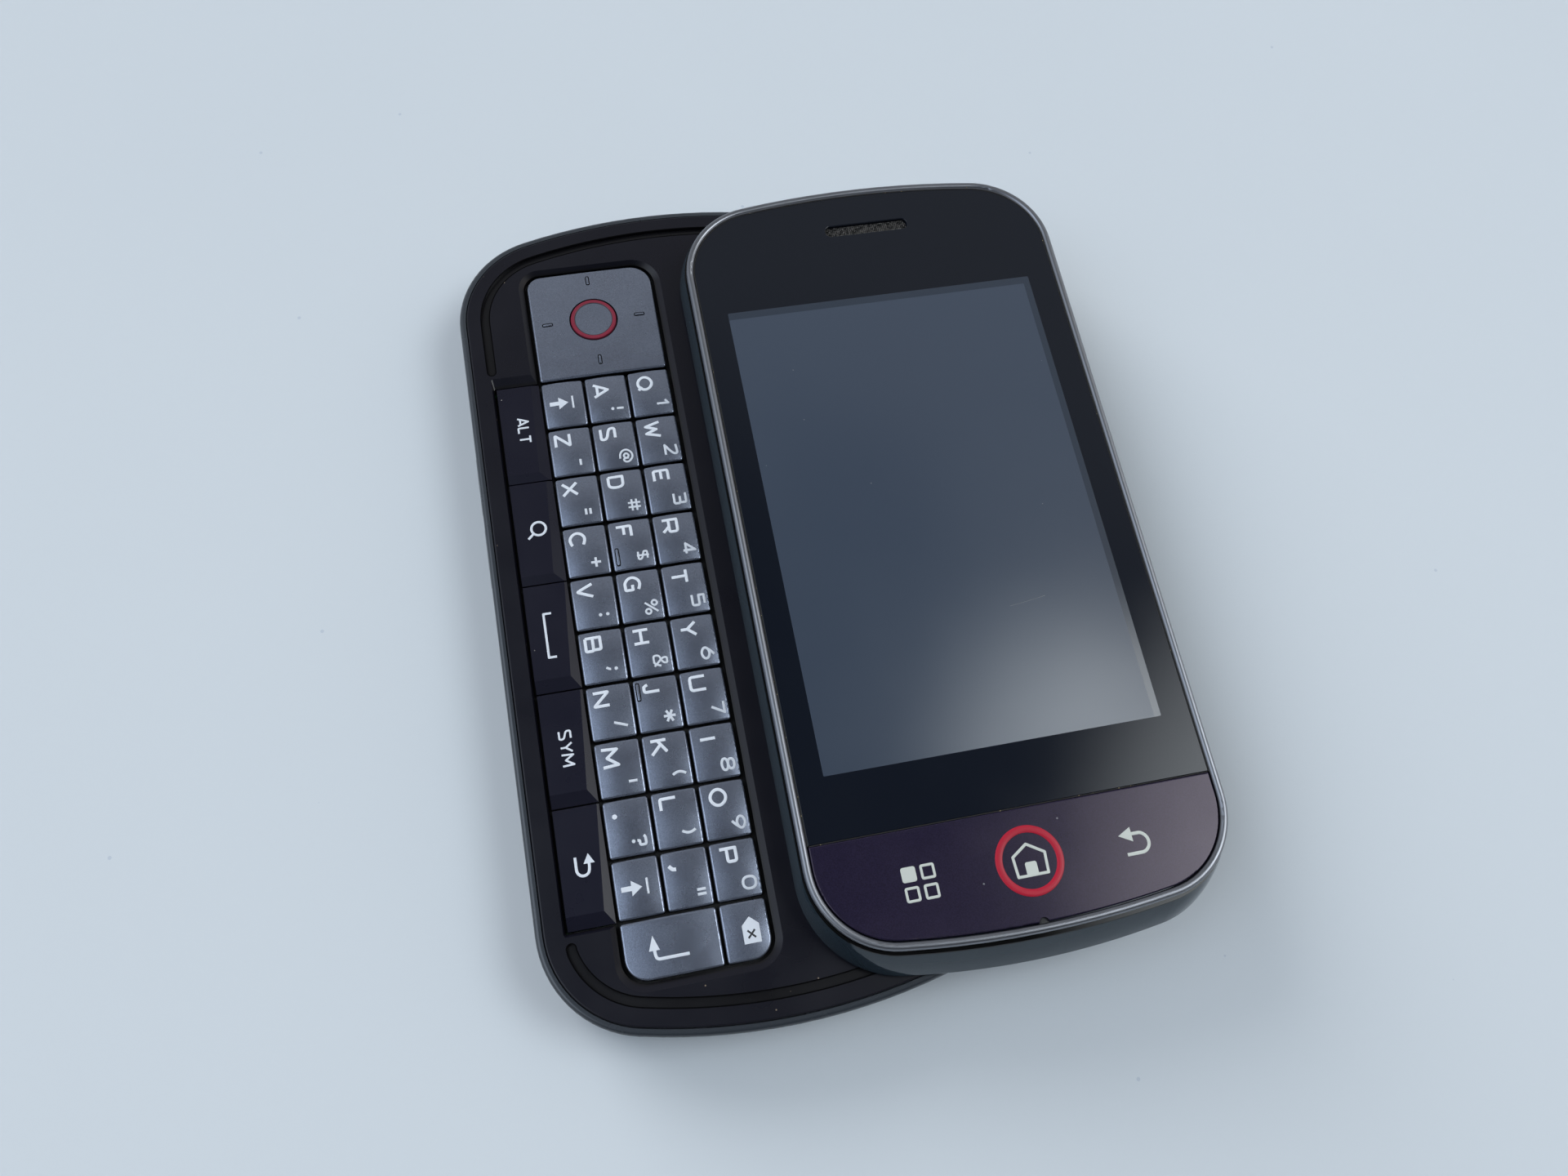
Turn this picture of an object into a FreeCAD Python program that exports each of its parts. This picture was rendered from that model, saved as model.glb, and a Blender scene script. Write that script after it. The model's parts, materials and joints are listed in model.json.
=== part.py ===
import FreeCAD, Part
import math
import os

# Sideways slider phone, open. Millimetres, +Z up, +Y to the earpiece end,
# +X to the side that the screen half slides out to.
# The origin is the middle of the keyboard half's flat back.

V = FreeCAD.Vector
os.makedirs("parts", exist_ok=True)

# ---- plan outlines: half width, half length, end radius, corner radius ----
base_plan = (29.1, 57.4, 80.0, 13.6)
foot_plan = (27.3, 55.9, 110.0, 13.0)
waist_plan = (27.15, 54.85, 118.0, 12.3)
brow_plan = (26.7, 53.4, 127.0, 11.3)
rim_plan = (26.55, 52.95, 130.0, 11.0)

# ---- heights ----
door_top = 1.3
floor_top = 2.0
board_low = 5.95
board_top = 6.7
mat_top = 7.05
key_low = 7.4
deck_low = 7.9
shell_top = 8.95
deck_top = 9.1
key_crown = 9.12
slab_low = 9.5
slab_waist = 12.0
housing_top = 14.35
glass_low = 14.7
glass_top = 15.3
plate_top = 15.32
rim_top = 15.6

# ---- walls and gaps ----
wall = 2.0
lip = 0.9
deck_gap = 0.12
part_gap = 0.1

# ---- slide ----
travel = 29.6
rail_y = 45.0
stem_low_x = 5.0
stem_high_x = 23.0
stem_width = 2.2
head_width = 5.0
track_foot = deck_low - 0.65
carriage_x = 25.0
carriage_y = 49.5
carriage_corner = 3.0
carriage_top = 10.3
channel_half = 3.1
channel_top = 11.15
cover_top = 11.8

# ---- keyboard grid ----
column = [-19.28, -13.28, -7.28, -1.28]
row_top = 31.71
row_pitch = 7.388
last_row_low = -49.3
pad_high = 49.0
side_column = (-25.3, -19.28)
key_gap = 0.34
key_round = 0.28
key_bow = 22.0
enter_bow = 60.0
pad_bow = 260.0
groove_depth = 0.5
slope_depth = 0.55
select_radius = 3.25
select_gap = 0.17

# ---- screen half ----
front_split = -38.2
slab_wall = 1.9
tray_floor = 11.1
bead_width = 1.02
bead_low = 14.75
ledge_width = 2.6
ear_slot = (-5.7, 6.3, 45.4, 47.1)
mic_x = 0.33
mic_y = -51.85
mic_radius = 0.62

# ---- battery bay ----
battery_half_x = 21.8
battery_low_y = -35.8
battery_high_y = 21.8
battery_low = 1.42
battery_high = 5.5
bay_wall = 0.8
bay_gap = 0.5
bay_top = 5.62
bay_roof = 5.9
door_half_x = 23.0
door_high_y = 28.0
tongue_width = 1.2
dimple_y = -40.0
dimple_radius = 30.0
dimple_depth = 0.6
rib_pitch = 2.0

screw_places = [(18.5, 51.1), (-18.5, 51.1), (18.5, -51.1), (-18.5, -51.1)]
boss_radius = 2.2
screw_shank = 0.7
screw_head = 1.25
head_low = 1.55

# ---- side controls ----
rocker_y = 13.2
rocker_half = 9.8
camera_key_y = -33.0
lock_key_y = 34.0
usb_y = -30.0
jack_x = 10.0
jack_z = 4.4
jack_bore = 1.8
jack_nose = 2.65
jack_mouth = 56.3
jack_depth = 14.2
camera_xy = (0.0, 44.0)
camera_hole = 3.4
barrel_radius = 3.0
speaker_xy = (-13.5, 42.5)
speaker_slots = 7
slot_pitch = 1.9
slot_half = 0.45
slot_reach = 3.2
socket_left = -28.75
socket_half = 3.75
socket_height = 2.6
rocker_heights = (3.4, 6.4)
button_heights = (3.6, 6.2)


# ---------------------------------------------------------------- helpers

def box(x0, x1, y0, y1, z0, z1):
    return Part.makeBox(x1 - x0, y1 - y0, z1 - z0, V(x0, y0, z0))


def rod(x, y, z0, z1, radius):
    return Part.makeCylinder(radius, z1 - z0, V(x, y, z0))


def bowed_wire(plan, z, grow=0.0):
    """Straight sides, round corners and gently bowed ends."""
    half_x, half_y, end_r, corner_r = [value + grow for value in plan]
    cx = half_x - corner_r
    end_y = half_y - end_r
    cy = end_y + math.sqrt((end_r - corner_r) ** 2 - cx ** 2)
    turn = math.atan2(cy - end_y, cx)

    def at(x, y, sx=1, sy=1):
        return V(sx * x, sy * y, z)

    side = (half_x, cy)
    middle = (cx + corner_r * math.cos(turn / 2), cy + corner_r * math.sin(turn / 2))
    join = (end_r * math.cos(turn), end_y + end_r * math.sin(turn))
    tip = (0.0, half_y)

    def arc(a, b, c):
        return Part.Arc(a, b, c).toShape()

    edges = [
        Part.LineSegment(at(*side, sy=-1), at(*side)).toShape(),
        arc(at(*side), at(*middle), at(*join)),
        arc(at(*join), at(*tip), at(*join, sx=-1)),
        arc(at(*join, sx=-1), at(*middle, sx=-1), at(*side, sx=-1)),
        Part.LineSegment(at(*side, sx=-1), at(*side, sx=-1, sy=-1)).toShape(),
        arc(at(*side, sx=-1, sy=-1), at(*middle, sx=-1, sy=-1), at(*join, sx=-1, sy=-1)),
        arc(at(*join, sx=-1, sy=-1), at(*tip, sy=-1), at(*join, sy=-1)),
        arc(at(*join, sy=-1), at(*middle, sy=-1), at(*side, sy=-1)),
    ]
    return Part.Wire(edges)


def bowed_block(plan, z0, z1, grow=0.0):
    return Part.Face(bowed_wire(plan, z0, grow)).extrude(V(0, 0, z1 - z0))


def corner_wire(x0, x1, y0, y1, z, radii):
    """Rectangle with its own radius at low-left, low-right, high-right, high-left."""
    corners = [(x0, y0), (x1, y0), (x1, y1), (x0, y1)]
    inward = [(1, 1), (-1, 1), (-1, -1), (1, -1)]
    along = [((0, 1), (1, 0)), ((-1, 0), (0, 1)), ((0, -1), (-1, 0)), ((1, 0), (0, -1))]
    edges = []
    ends = []
    for (x, y), (ix, iy), (first, second), r in zip(corners, inward, along, radii):
        start = V(x + first[0] * r, y + first[1] * r, z)
        finish = V(x + second[0] * r, y + second[1] * r, z)
        cut = r * (1 - math.sqrt(0.5))
        mid = V(x + ix * cut, y + iy * cut, z)
        ends.append((start, mid, finish))
    for index, (start, mid, finish) in enumerate(ends):
        edges.append(Part.Arc(start, mid, finish).toShape())
        following = ends[(index + 1) % 4][0]
        edges.append(Part.LineSegment(finish, following).toShape())
    return Part.Wire(edges)


def corner_block(x0, x1, y0, y1, z0, z1, radii):
    return Part.Face(corner_wire(x0, x1, y0, y1, z0, radii)).extrude(V(0, 0, z1 - z0))


def flat_edges(shape, z, within=0.01):
    """Edges that lie in the level plane z."""
    found = []
    for edge in shape.Edges:
        limits = edge.BoundBox
        if abs(limits.ZMin - z) < within and abs(limits.ZMax - z) < within:
            found.append(edge)
    return found


def upright_edges(shape):
    return [edge for edge in shape.Edges if edge.BoundBox.ZLength > 1]


def save(name, shape):
    solids = shape.Solids
    if len(solids) == 1:
        shape = solids[0]
    shape.exportStep("parts/" + name + ".step")
    print(name, len(solids), round(sum(s.Volume for s in solids), 1), shape.isValid())


def moved(shape, x, y, z):
    shape = shape.copy()
    shape.translate(V(x, y, z))
    return shape


def into_slab(shape):
    """Carries a shape drawn about the screen half's own middle to its open place."""
    return moved(shape, travel, 0, 0)


# ---------------------------------------------------------------- keyboard half

def outer_form():
    """The keyboard half's outside: flat back with deep round edges, upright sides."""
    body = bowed_block(base_plan, 0, shell_top)
    body = body.makeFillet(3.2, flat_edges(body, 0))
    return body.makeFillet(0.55, flat_edges(body, shell_top))


def rocker_slot(grow):
    return box(-32, -26, rocker_y - rocker_half - grow, rocker_y + rocker_half + grow,
               rocker_heights[0] - grow, rocker_heights[1] + grow)


def side_slot(y, half, grow):
    return box(26, 32, y - half - grow, y + half + grow, button_heights[0] - grow, button_heights[1] + grow)


def base_shell():
    """Lower housing with the battery bay, screw bosses and all side openings."""
    body = outer_form()
    body = body.cut(bowed_block(base_plan, deck_low - 0.02, shell_top + 1, -lip))
    body = body.cut(bowed_block(base_plan, floor_top, shell_top + 1, -wall))
    outside = bay_gap + bay_wall
    bay = box(-battery_half_x - outside, battery_half_x + outside,
              battery_low_y - outside, battery_high_y + outside, floor_top - 0.3, bay_roof)
    bosses = [rod(x, y, floor_top - 0.3, 4.0, boss_radius) for x, y in screw_places]
    keep = bowed_block(base_plan, 0.5, shell_top, -1.0)
    body = body.fuse([bay.common(keep)] + [boss.common(keep) for boss in bosses])
    body = body.cut(box(-battery_half_x - bay_gap, battery_half_x + bay_gap,
                        battery_low_y - bay_gap, battery_high_y + bay_gap, -1, bay_top))
    body = body.cut(door_room())
    for x, y in screw_places:
        body = body.cut(rod(x, y, -1, 2.3, screw_head + 0.2))
        body = body.cut(rod(x, y, 0, 5, screw_shank + 0.15))
    body = body.cut(rocker_slot(0.16))
    body = body.cut(side_slot(camera_key_y, 4.5, 0.15))
    body = body.cut(side_slot(lock_key_y, 4.0, 0.15))
    body = body.cut(box(-32, -26, usb_y - 4.0, usb_y + 4.0, 3.15, 6.1))
    body = body.cut(Part.makeCylinder(jack_nose + 0.1, 6, V(jack_x, 52.8, jack_z), V(0, 1, 0)))
    body = body.cut(rod(camera_xy[0], camera_xy[1], -1, 3, camera_hole))
    for step in range(speaker_slots):
        slot_x = speaker_xy[0] + slot_pitch * (step - speaker_slots // 2)
        body = body.cut(corner_block(slot_x - slot_half, slot_x + slot_half, speaker_xy[1] - slot_reach,
                                     speaker_xy[1] + slot_reach, -1, 3, [slot_half - 0.01] * 4))
    return body.removeSplitter()


def door_room():
    """Space in the shell for the battery door and its two side tongues."""
    plate = box(-door_half_x - part_gap, door_half_x + part_gap, -60, door_high_y + part_gap,
                -1, door_top + 0.05)
    reach = door_half_x + tongue_width + part_gap
    tongues = box(-reach, reach, -60, door_high_y - 1.9, 0.65, door_top + 0.05)
    return plate.fuse(tongues)


def battery_door():
    """Flat cover that slides towards the bottom end, with a finger dimple."""
    plate = box(-door_half_x, door_half_x, -60, door_high_y, 0, door_top)
    reach = door_half_x + tongue_width
    tongues = box(-reach, reach, -60, door_high_y - 2, 0.75, door_top - 0.05)
    door = plate.fuse(tongues).common(outer_form())
    dimple = Part.makeSphere(dimple_radius, V(0, dimple_y, dimple_depth - dimple_radius))
    door = door.cut(dimple)
    for step in range(-2, 3):
        rib_y = dimple_y + rib_pitch * step
        door = door.fuse(corner_block(-4, 4, rib_y - 0.35, rib_y + 0.35, 0.1, 0.75, [0.34] * 4))
    return door.removeSplitter()


def battery():
    """Flat cell with a contact block at its top end."""
    cell = box(-battery_half_x, battery_half_x, battery_low_y, battery_high_y, battery_low, battery_high)
    cell = cell.makeFillet(1.2, upright_edges(cell))
    cell = cell.makeFillet(0.4, flat_edges(cell, battery_low) + flat_edges(cell, battery_high))
    for x in (-4.5, -1.5, 1.5, 4.5):
        cell = cell.cut(box(x - 0.9, x + 0.9, battery_high_y - 0.4, battery_high_y + 1, 2.2, 4.4))
    return cell


def key_opening():
    """The hole in the deck that the keys stand in."""
    main = corner_block(column[0] - 0.3, column[3] + 0.3, last_row_low - 0.3, pad_high + 0.3,
                        deck_low - 1, deck_top + 1, [3.0, 2.8, 3.3, 2.3])
    side = corner_block(side_column[0] - 0.25, side_column[1] + 1, row_y(10) - 0.1, row_y(0) + 0.1,
                        deck_low - 1, deck_top + 1, [0.3] * 4)
    return main.fuse(side)


def key_slope():
    """The sloping band where the deck falls to the keys."""
    low = corner_wire(column[0] - 0.3, column[3] + 0.3, last_row_low - 0.3, pad_high + 0.3,
                      deck_top - slope_depth, [3.0, 2.8, 3.3, 2.3])
    high = corner_wire(column[0] - 1.0, column[3] + 1.2, last_row_low - 1.3, pad_high + 0.9,
                       deck_top + 0.02, [3.6, 3.7, 4.2, 3.0])
    main = Part.makeLoft([low, high], True, True)
    side_low = corner_wire(side_column[0] - 0.25, side_column[1] + 1, row_y(10) - 0.1, row_y(0) + 0.1,
                           deck_top - slope_depth, [0.3] * 4)
    side_high = corner_wire(side_column[0] - 0.45, side_column[1] + 1, row_y(10) - 0.5, row_y(0) + 1.5,
                            deck_top + 0.02, [0.4] * 4)
    side = Part.makeLoft([side_low, side_high], True, True)
    return main.fuse(side)


def deck_groove(sign, end_y, inner, outer):
    """Racetrack groove that follows the edge round a corner and along the end."""
    low = deck_top - groove_depth
    band = bowed_block(base_plan, low, deck_top + 1, -outer)
    band = band.cut(bowed_block(base_plan, low - 1, deck_top + 2, -inner))
    reach = 20.0
    if sign > 0:
        room = box(-40, reach, end_y, 70, 0, 20)
    else:
        room = box(-40, reach, -70, -end_y, 0, 20)
    band = band.common(room)
    # round both ends of the groove
    middle = (inner + outer) / 2
    radius = (inner - outer) / 2
    half_x, half_y, end_r, corner_r = [value - middle for value in base_plan]
    cx = half_x - corner_r
    cy = half_y - end_r + math.sqrt((end_r - corner_r) ** 2 - cx ** 2)
    if end_y > cy:
        start_x = -(cx + math.sqrt(corner_r ** 2 - (end_y - cy) ** 2))
    else:
        start_x = -half_x
    far_y = half_y - end_r + math.sqrt(end_r ** 2 - reach ** 2)
    if reach > cx:
        far_y = cy + math.sqrt(corner_r ** 2 - (reach - cx) ** 2)
    caps = [rod(start_x, sign * end_y, low, deck_top + 1, radius),
            rod(reach, sign * far_y, low, deck_top + 1, radius)]
    return band.fuse(caps)


def keyboard_deck():
    """Top plate of the keyboard half, with the key opening and two edge grooves."""
    inset = -lip - deck_gap
    deck = bowed_block(base_plan, deck_low, deck_top, inset)
    deck = deck.makeFillet(0.22, flat_edges(deck, deck_top))
    deck = deck.cut(key_opening())
    deck = deck.cut(key_slope())
    deck = deck.cut(deck_groove(1, 34.3, 4.2, 3.0))
    deck = deck.cut(deck_groove(-1, 44.0, 4.4, 3.2))
    half = stem_width / 2 + 0.15
    for y in (rail_y, -rail_y):
        deck = deck.cut(box(stem_low_x - 0.15, stem_high_x + 0.15, y - half, y + half, 0, 20))
    for x, y in screw_places:
        deck = deck.fuse(rod(x, y, 4.1, deck_low, 1.2))
        deck = deck.cut(rod(x, y, 3, 7.0, 0.72))
    return deck.removeSplitter()


def case_screws():
    """Four identical screws up through the shell into the deck's posts."""
    screws = []
    for x, y in screw_places:
        head = rod(x, y, head_low, 2.25, screw_head)
        head = head.makeFillet(0.2, flat_edges(head, head_low))
        screw = head.fuse(rod(x, y, 2.2, 6.4, screw_shank)).removeSplitter()
        screw = screw.cut(box(x - 0.9, x + 0.9, y - 0.15, y + 0.15, 1.5, 1.9))
        screw = screw.cut(box(x - 0.15, x + 0.15, y - 0.9, y + 0.9, 1.5, 1.9))
        screws.append(screw)
    return Part.makeCompound(screws)


def main_board():
    """Circuit board with the shield cans soldered to its underside."""
    board = bowed_block(base_plan, board_low, board_top, -2.7)
    board = board.cut(box(jack_x - 3.5, jack_x + 4.1, 39.8, 60, 5, 8))
    board = board.cut(box(-30, -25.5, rocker_y - 11.5, rocker_y + 11.5, 5, 8))
    board = board.cut(box(25.2, 30, camera_key_y - 6.5, camera_key_y + 6.5, 5, 8))
    board = board.cut(box(25.2, 30, lock_key_y - 6.5, lock_key_y + 6.5, 5, 8))
    for x, y in screw_places:
        board = board.cut(rod(x, y, 5, 8, 1.6))
    cans = [box(-14, 4, 25, 37, 4.2, board_low), box(12, 24, 25, 38, 4.5, board_low),
            box(-16, -2, -50, -39, 4.2, board_low), box(2, 15, -50, -39, 4.6, board_low)]
    cans = [can.makeFillet(0.5, upright_edges(can)) for can in cans]
    return board.fuse(cans).removeSplitter()


def keypad_mat():
    """Silicone sheet on the board, with a post under every key."""
    sheet = corner_block(column[0] - 0.3, column[3] + 0.35, last_row_low - 0.3, pad_high + 0.2,
                         board_top, mat_top, [1.0] * 4)
    side = corner_block(side_column[0] - 0.3, column[0] + 1, row_y(10), row_y(0), board_top, mat_top,
                        [1.0] * 4)
    sheet = sheet.fuse(side)
    posts = []
    for x0, x1, y0, y1 in key_cells():
        cx, cy = (x0 + x1) / 2, (y0 + y1) / 2
        posts.append(box(cx - 1.4, cx + 1.4, cy - 1.8, cy + 1.8, mat_top - 0.1, key_low))
    px, py = pad_centre()
    posts.append(rod(px, py, mat_top - 0.1, key_low, 1.5))
    for dx, dy in ((7.0, 0), (-7.0, 0), (0, 6.5), (0, -6.5)):
        posts.append(rod(px + dx, py + dy, mat_top - 0.1, key_low, 1.2))
    return sheet.fuse(posts).removeSplitter()


def camera_module():
    """Camera block with its lens barrel looking out of the back."""
    x, y = camera_xy
    body = box(x - 4.3, x + 4.3, y - 4.3, y + 4.3, floor_top, board_low)
    body = body.makeFillet(0.5, upright_edges(body))
    barrel = rod(x, y, 0.9, floor_top + 0.2, barrel_radius)
    module = body.fuse(barrel).removeSplitter()
    mouth = Part.makeCone(2.2, 1.2, 0.6, V(x, y, 0.9))
    return module.cut(mouth)


def loudspeaker():
    """Ringer speaker behind the slots in the back."""
    x, y = speaker_xy
    body = corner_block(x - 7.2, x + 7.2, y - 4.6, y + 4.6, floor_top, 5.2, [2.0] * 4)
    ring = corner_block(x - 6.2, x + 6.2, y - 3.6, y + 3.6, floor_top - 1, floor_top + 0.5, [1.4] * 4)
    return body.cut(ring)


def usb_socket():
    """Five-contact data and charging socket, hung under the board's left edge."""
    high = board_low
    low = high - socket_height
    inner = socket_half - 0.3
    can = box(socket_left, -23.6, usb_y - socket_half, usb_y + socket_half, low, high)
    lower = [edge for edge in can.Edges if edge.BoundBox.XLength > 3 and edge.BoundBox.ZMin < low + 0.1]
    can = can.makeFillet(0.5, lower)
    can = can.cut(box(socket_left - 1, -24.0, usb_y - inner, usb_y + inner, low + 0.3, high - 0.45))
    tongue = box(socket_left + 0.6, -23.9, usb_y - 1.9, usb_y + 1.9, high - 1.2, high - 0.75)
    return can.fuse(tongue).removeSplitter()


def headphone_jack():
    """Round plug socket with its mouth in the top end."""
    inner_y = jack_mouth - jack_depth
    block = box(jack_x - 3.2, jack_x + 3.2, inner_y - 1.2, 53.9, jack_z - 2.4, jack_z + 2.5)
    block = block.makeFillet(0.6, [edge for edge in block.Edges if edge.BoundBox.YLength > 5])
    nose = Part.makeCylinder(jack_nose, jack_mouth - 53.6, V(jack_x, 53.6, jack_z), V(0, 1, 0))
    bore = Part.makeCylinder(jack_bore, jack_depth + 1, V(jack_x, inner_y, jack_z), V(0, 1, 0))
    return block.fuse(nose).removeSplitter().cut(bore)


def side_button(y, half, heights, sign, proud):
    """A push button in a side wall with a wider flange inside the wall."""
    low, high = heights
    outside = base_plan[0] + proud
    cap = box(26.3, outside, y - half, y + half, low, high)
    cap = cap.makeFillet(0.45, [e for e in cap.Edges if e.BoundBox.XMin > outside - 0.01])
    flange = box(25.9, 26.4, y - half - 0.8, y + half + 0.8, low - 0.4, min(high + 0.4, 6.75))
    button = cap.fuse(flange).removeSplitter()
    if sign < 0:
        button = button.mirror(V(0, 0, 0), V(1, 0, 0))
    return button


def volume_rocker():
    """Two-way rocker with a shallow dip at its middle."""
    rocker = side_button(rocker_y, rocker_half, rocker_heights, -1, 0.3)
    dip = Part.makeCylinder(6.0, 6, V(-29.4 - 5.85, rocker_y, 2), V(0, 0, 1))
    return rocker.cut(dip)


def slide_track():
    """Steel bracket under the deck whose two T-shaped guides stand up into the screen half."""
    plates = []
    stem_half = stem_width / 2
    head_half = head_width / 2
    guide_low = carriage_top + 0.1
    for y in (rail_y, -rail_y):
        foot = box(stem_low_x - 1.5, stem_high_x + 1.5, y - 3.2, y + 3.2, track_foot, deck_low)
        stem = box(stem_low_x, stem_high_x, y - stem_half, y + stem_half, deck_low - 0.1, guide_low + 0.1)
        pad = box(stem_low_x, stem_high_x, y - head_half, y + head_half, deck_top, slab_low)
        head = box(stem_low_x, stem_high_x, y - head_half, y + head_half, guide_low, channel_top - 0.2)
        plates.append(foot.fuse([stem, pad, head]))
    joined = plates[0].fuse(plates[1])
    bridge = box(stem_high_x - 2.5, stem_high_x + 1.5, -rail_y, rail_y, track_foot, deck_low)
    return joined.fuse(bridge).removeSplitter()


# ---------------------------------------------------------------- keys

def row_y(index):
    return row_top - row_pitch * index


def pad_centre():
    return (column[0] + column[3]) / 2 - 0.17, 40.7


def key_cells():
    """Plan limits of every key but the direction pad, gaps left out."""
    cells = []
    for name, limits in key_table():
        cells.append(limits)
    return cells


letter_rows = {
    2: ["q", "w", "e", "r", "t", "y", "u", "i", "o", "p"],
    1: ["a", "s", "d", "f", "g", "h", "j", "k", "l", "comma"],
    0: ["shift_left", "z", "x", "c", "v", "b", "n", "m", "period", "shift_right"],
}
side_keys = ["alt", "search", "space", "symbol", "back"]
side_rise = {"alt": 0.12, "search": 0.25, "space": 0.48, "symbol": 0.52, "back": 0.52}


def key_table():
    table = []
    for place, names in letter_rows.items():
        for index, name in enumerate(names):
            limits = (column[place], column[place + 1], row_y(index + 1), row_y(index))
            table.append(("key_" + name, limits))
    table.append(("key_enter", (column[0], column[2], last_row_low - key_gap / 2, row_y(10))))
    table.append(("key_delete", (column[2], column[3], last_row_low - key_gap / 2, row_y(10))))
    for index, name in enumerate(side_keys):
        limits = (side_column[0], side_column[1], row_y(2 * index + 2), row_y(2 * index))
        table.append(("key_" + name, limits))
    return table


def pillow_key(x0, x1, y0, y1, radii, crown_radius):
    """Metallic key with a softly domed top and round edges."""
    g = key_gap / 2
    body = corner_block(x0 + g, x1 - g, y0 + g, y1 - g, key_low, key_crown + 0.5, radii)
    cx, cy = (x0 + x1) / 2, (y0 + y1) / 2
    dome = Part.makeSphere(crown_radius, V(cx, cy, key_crown - crown_radius))
    body = body.common(dome)
    edges = [e for e in body.Edges if e.BoundBox.ZMin > key_low + 0.3]
    return body.makeFillet(key_round, edges)


def bent_key(x0, x1, y0, y1, rise):
    """Dark key: its top climbs to the low end and falls off in two facets."""
    g = key_gap / 2
    x0, x1, y0, y1 = x0 + g * 0.6, x1 - g, y0 + g * 0.7, y1 - g * 0.7
    base = deck_top - 0.45
    top = base + rise
    block = box(x0, x1, y0, y1, key_low, top + 1)
    slope_x = 1.5 if rise > 0.4 else 1.9
    slope_y = 1.9 if rise > 0.4 else 1.3

    # everything above the climbing top plane, from the high-y end to the low-y end
    side = Part.Face(Part.makePolygon([V(x0 - 1, y1 + 1, base + 0.05), V(x0 - 1, y0 - 1, top + 0.05),
                                       V(x0 - 1, y0 - 1, top + 3), V(x0 - 1, y1 + 1, top + 3),
                                       V(x0 - 1, y1 + 1, base + 0.05)]))
    block = block.cut(side.extrude(V(x1 - x0 + 2, 0, 0)))
    # facet that falls towards the metallic keys
    right = Part.Face(Part.makePolygon([V(x1 - slope_x, y0 - 1, top + 0.12), V(x1 + 0.5, y0 - 1, base - 0.28),
                                        V(x1 + 0.5, y0 - 1, top + 3), V(x1 - slope_x, y0 - 1, top + 3),
                                        V(x1 - slope_x, y0 - 1, top + 0.12)]))
    block = block.cut(right.extrude(V(0, y1 - y0 + 2, 0)))
    # facet that falls towards the low end
    low = Part.Face(Part.makePolygon([V(x0 - 1, y0 + slope_y, top + 0.05), V(x0 - 1, y0 - 0.5, base - 0.2),
                                      V(x0 - 1, y0 - 0.5, top + 3), V(x0 - 1, y0 + slope_y, top + 3),
                                      V(x0 - 1, y0 + slope_y, top + 0.05)]))
    block = block.cut(low.extrude(V(x1 - x0 + 2, 0, 0)))
    return block


def direction_pad():
    """Large plate with a round hole for the select button."""
    px, py = pad_centre()
    pad = pillow_key(column[0], column[3], row_y(0), pad_high, [0.35, 0.35, 3.0, 2.0], pad_bow)
    return pad.cut(rod(px, py, 0, 20, select_radius + select_gap))


def select_button():
    px, py = pad_centre()
    body = rod(px, py, key_low, key_crown + 0.06, select_radius)
    return body.makeFillet(0.25, flat_edges(body, key_crown + 0.06))


def all_keys():
    radii_of = {"key_enter": [2.8, 0.4, 0.35, 0.35], "key_delete": [0.4, 2.5, 0.35, 0.35]}
    bows = {"key_enter": enter_bow}
    for name, (x0, x1, y0, y1) in key_table():
        short = name[4:]
        if short in side_rise:
            save(name, bent_key(x0, x1, y0, y1, side_rise[short]))
        else:
            save(name, pillow_key(x0, x1, y0, y1, radii_of.get(name, [0.35] * 4), bows.get(name, key_bow)))


# ---------------------------------------------------------------- screen half

def slab_housing():
    """Tray of the screen half; its ends flare out to the foot."""
    wires = [bowed_wire(foot_plan, slab_low), bowed_wire(waist_plan, slab_waist),
             bowed_wire(brow_plan, housing_top)]
    form = Part.makeLoft(wires, True, False)
    form = form.makeFillet(0.4, flat_edges(form, slab_low))
    key_side = box(-40, 40, -70, front_split + 1, 0, 30)
    body = form.cut(bowed_block(rim_plan, 14.0, 16, -1.0).common(key_side))
    body = body.cut(bowed_block(rim_plan, tray_floor, 16, -slab_wall))
    # recess for the sliding plate, a frame round the display and posts under the front keys
    body = body.cut(corner_block(-carriage_x - part_gap, carriage_x + part_gap, -carriage_y - part_gap,
                                 carriage_y + part_gap, slab_low - 1, carriage_top, [carriage_corner] * 4))
    frame = bowed_block(rim_plan, tray_floor - 0.1, 11.5, 0.1 - slab_wall)
    frame = frame.cut(box(-24.2, 24.2, -33.0, 38.0, 10, 12))
    posts = [rod(x, -44.5, cover_top - 0.1, 14.1, 2.0) for x in (-13.3, 0.4, 13.8)]
    # one covered channel over each row of guides
    covers = [box(-25.3, 25.3, y - 4.0, y + 4.0, 10.9, cover_top).common(form) for y in (rail_y, -rail_y)]
    body = body.fuse([frame] + covers + posts)
    for y in (rail_y, -rail_y):
        body = body.cut(corner_block(stem_low_x - travel - 0.3, stem_high_x + 0.6, y - channel_half,
                                     y + channel_half, 10.0, channel_top, [1.0] * 4))
    return body.removeSplitter()


def slide_carriage():
    """Steel sliding plate under the screen half, with two long guide slots."""
    plate = corner_block(-carriage_x, carriage_x, -carriage_y, carriage_y, slab_low + 0.05, carriage_top,
                         [carriage_corner] * 4)
    half = stem_width / 2 + 0.08
    for y in (rail_y, -rail_y):
        plate = plate.cut(box(stem_low_x - travel - 0.05, stem_high_x + 0.05, y - half, y + half, 9, 11))
    return plate


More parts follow.
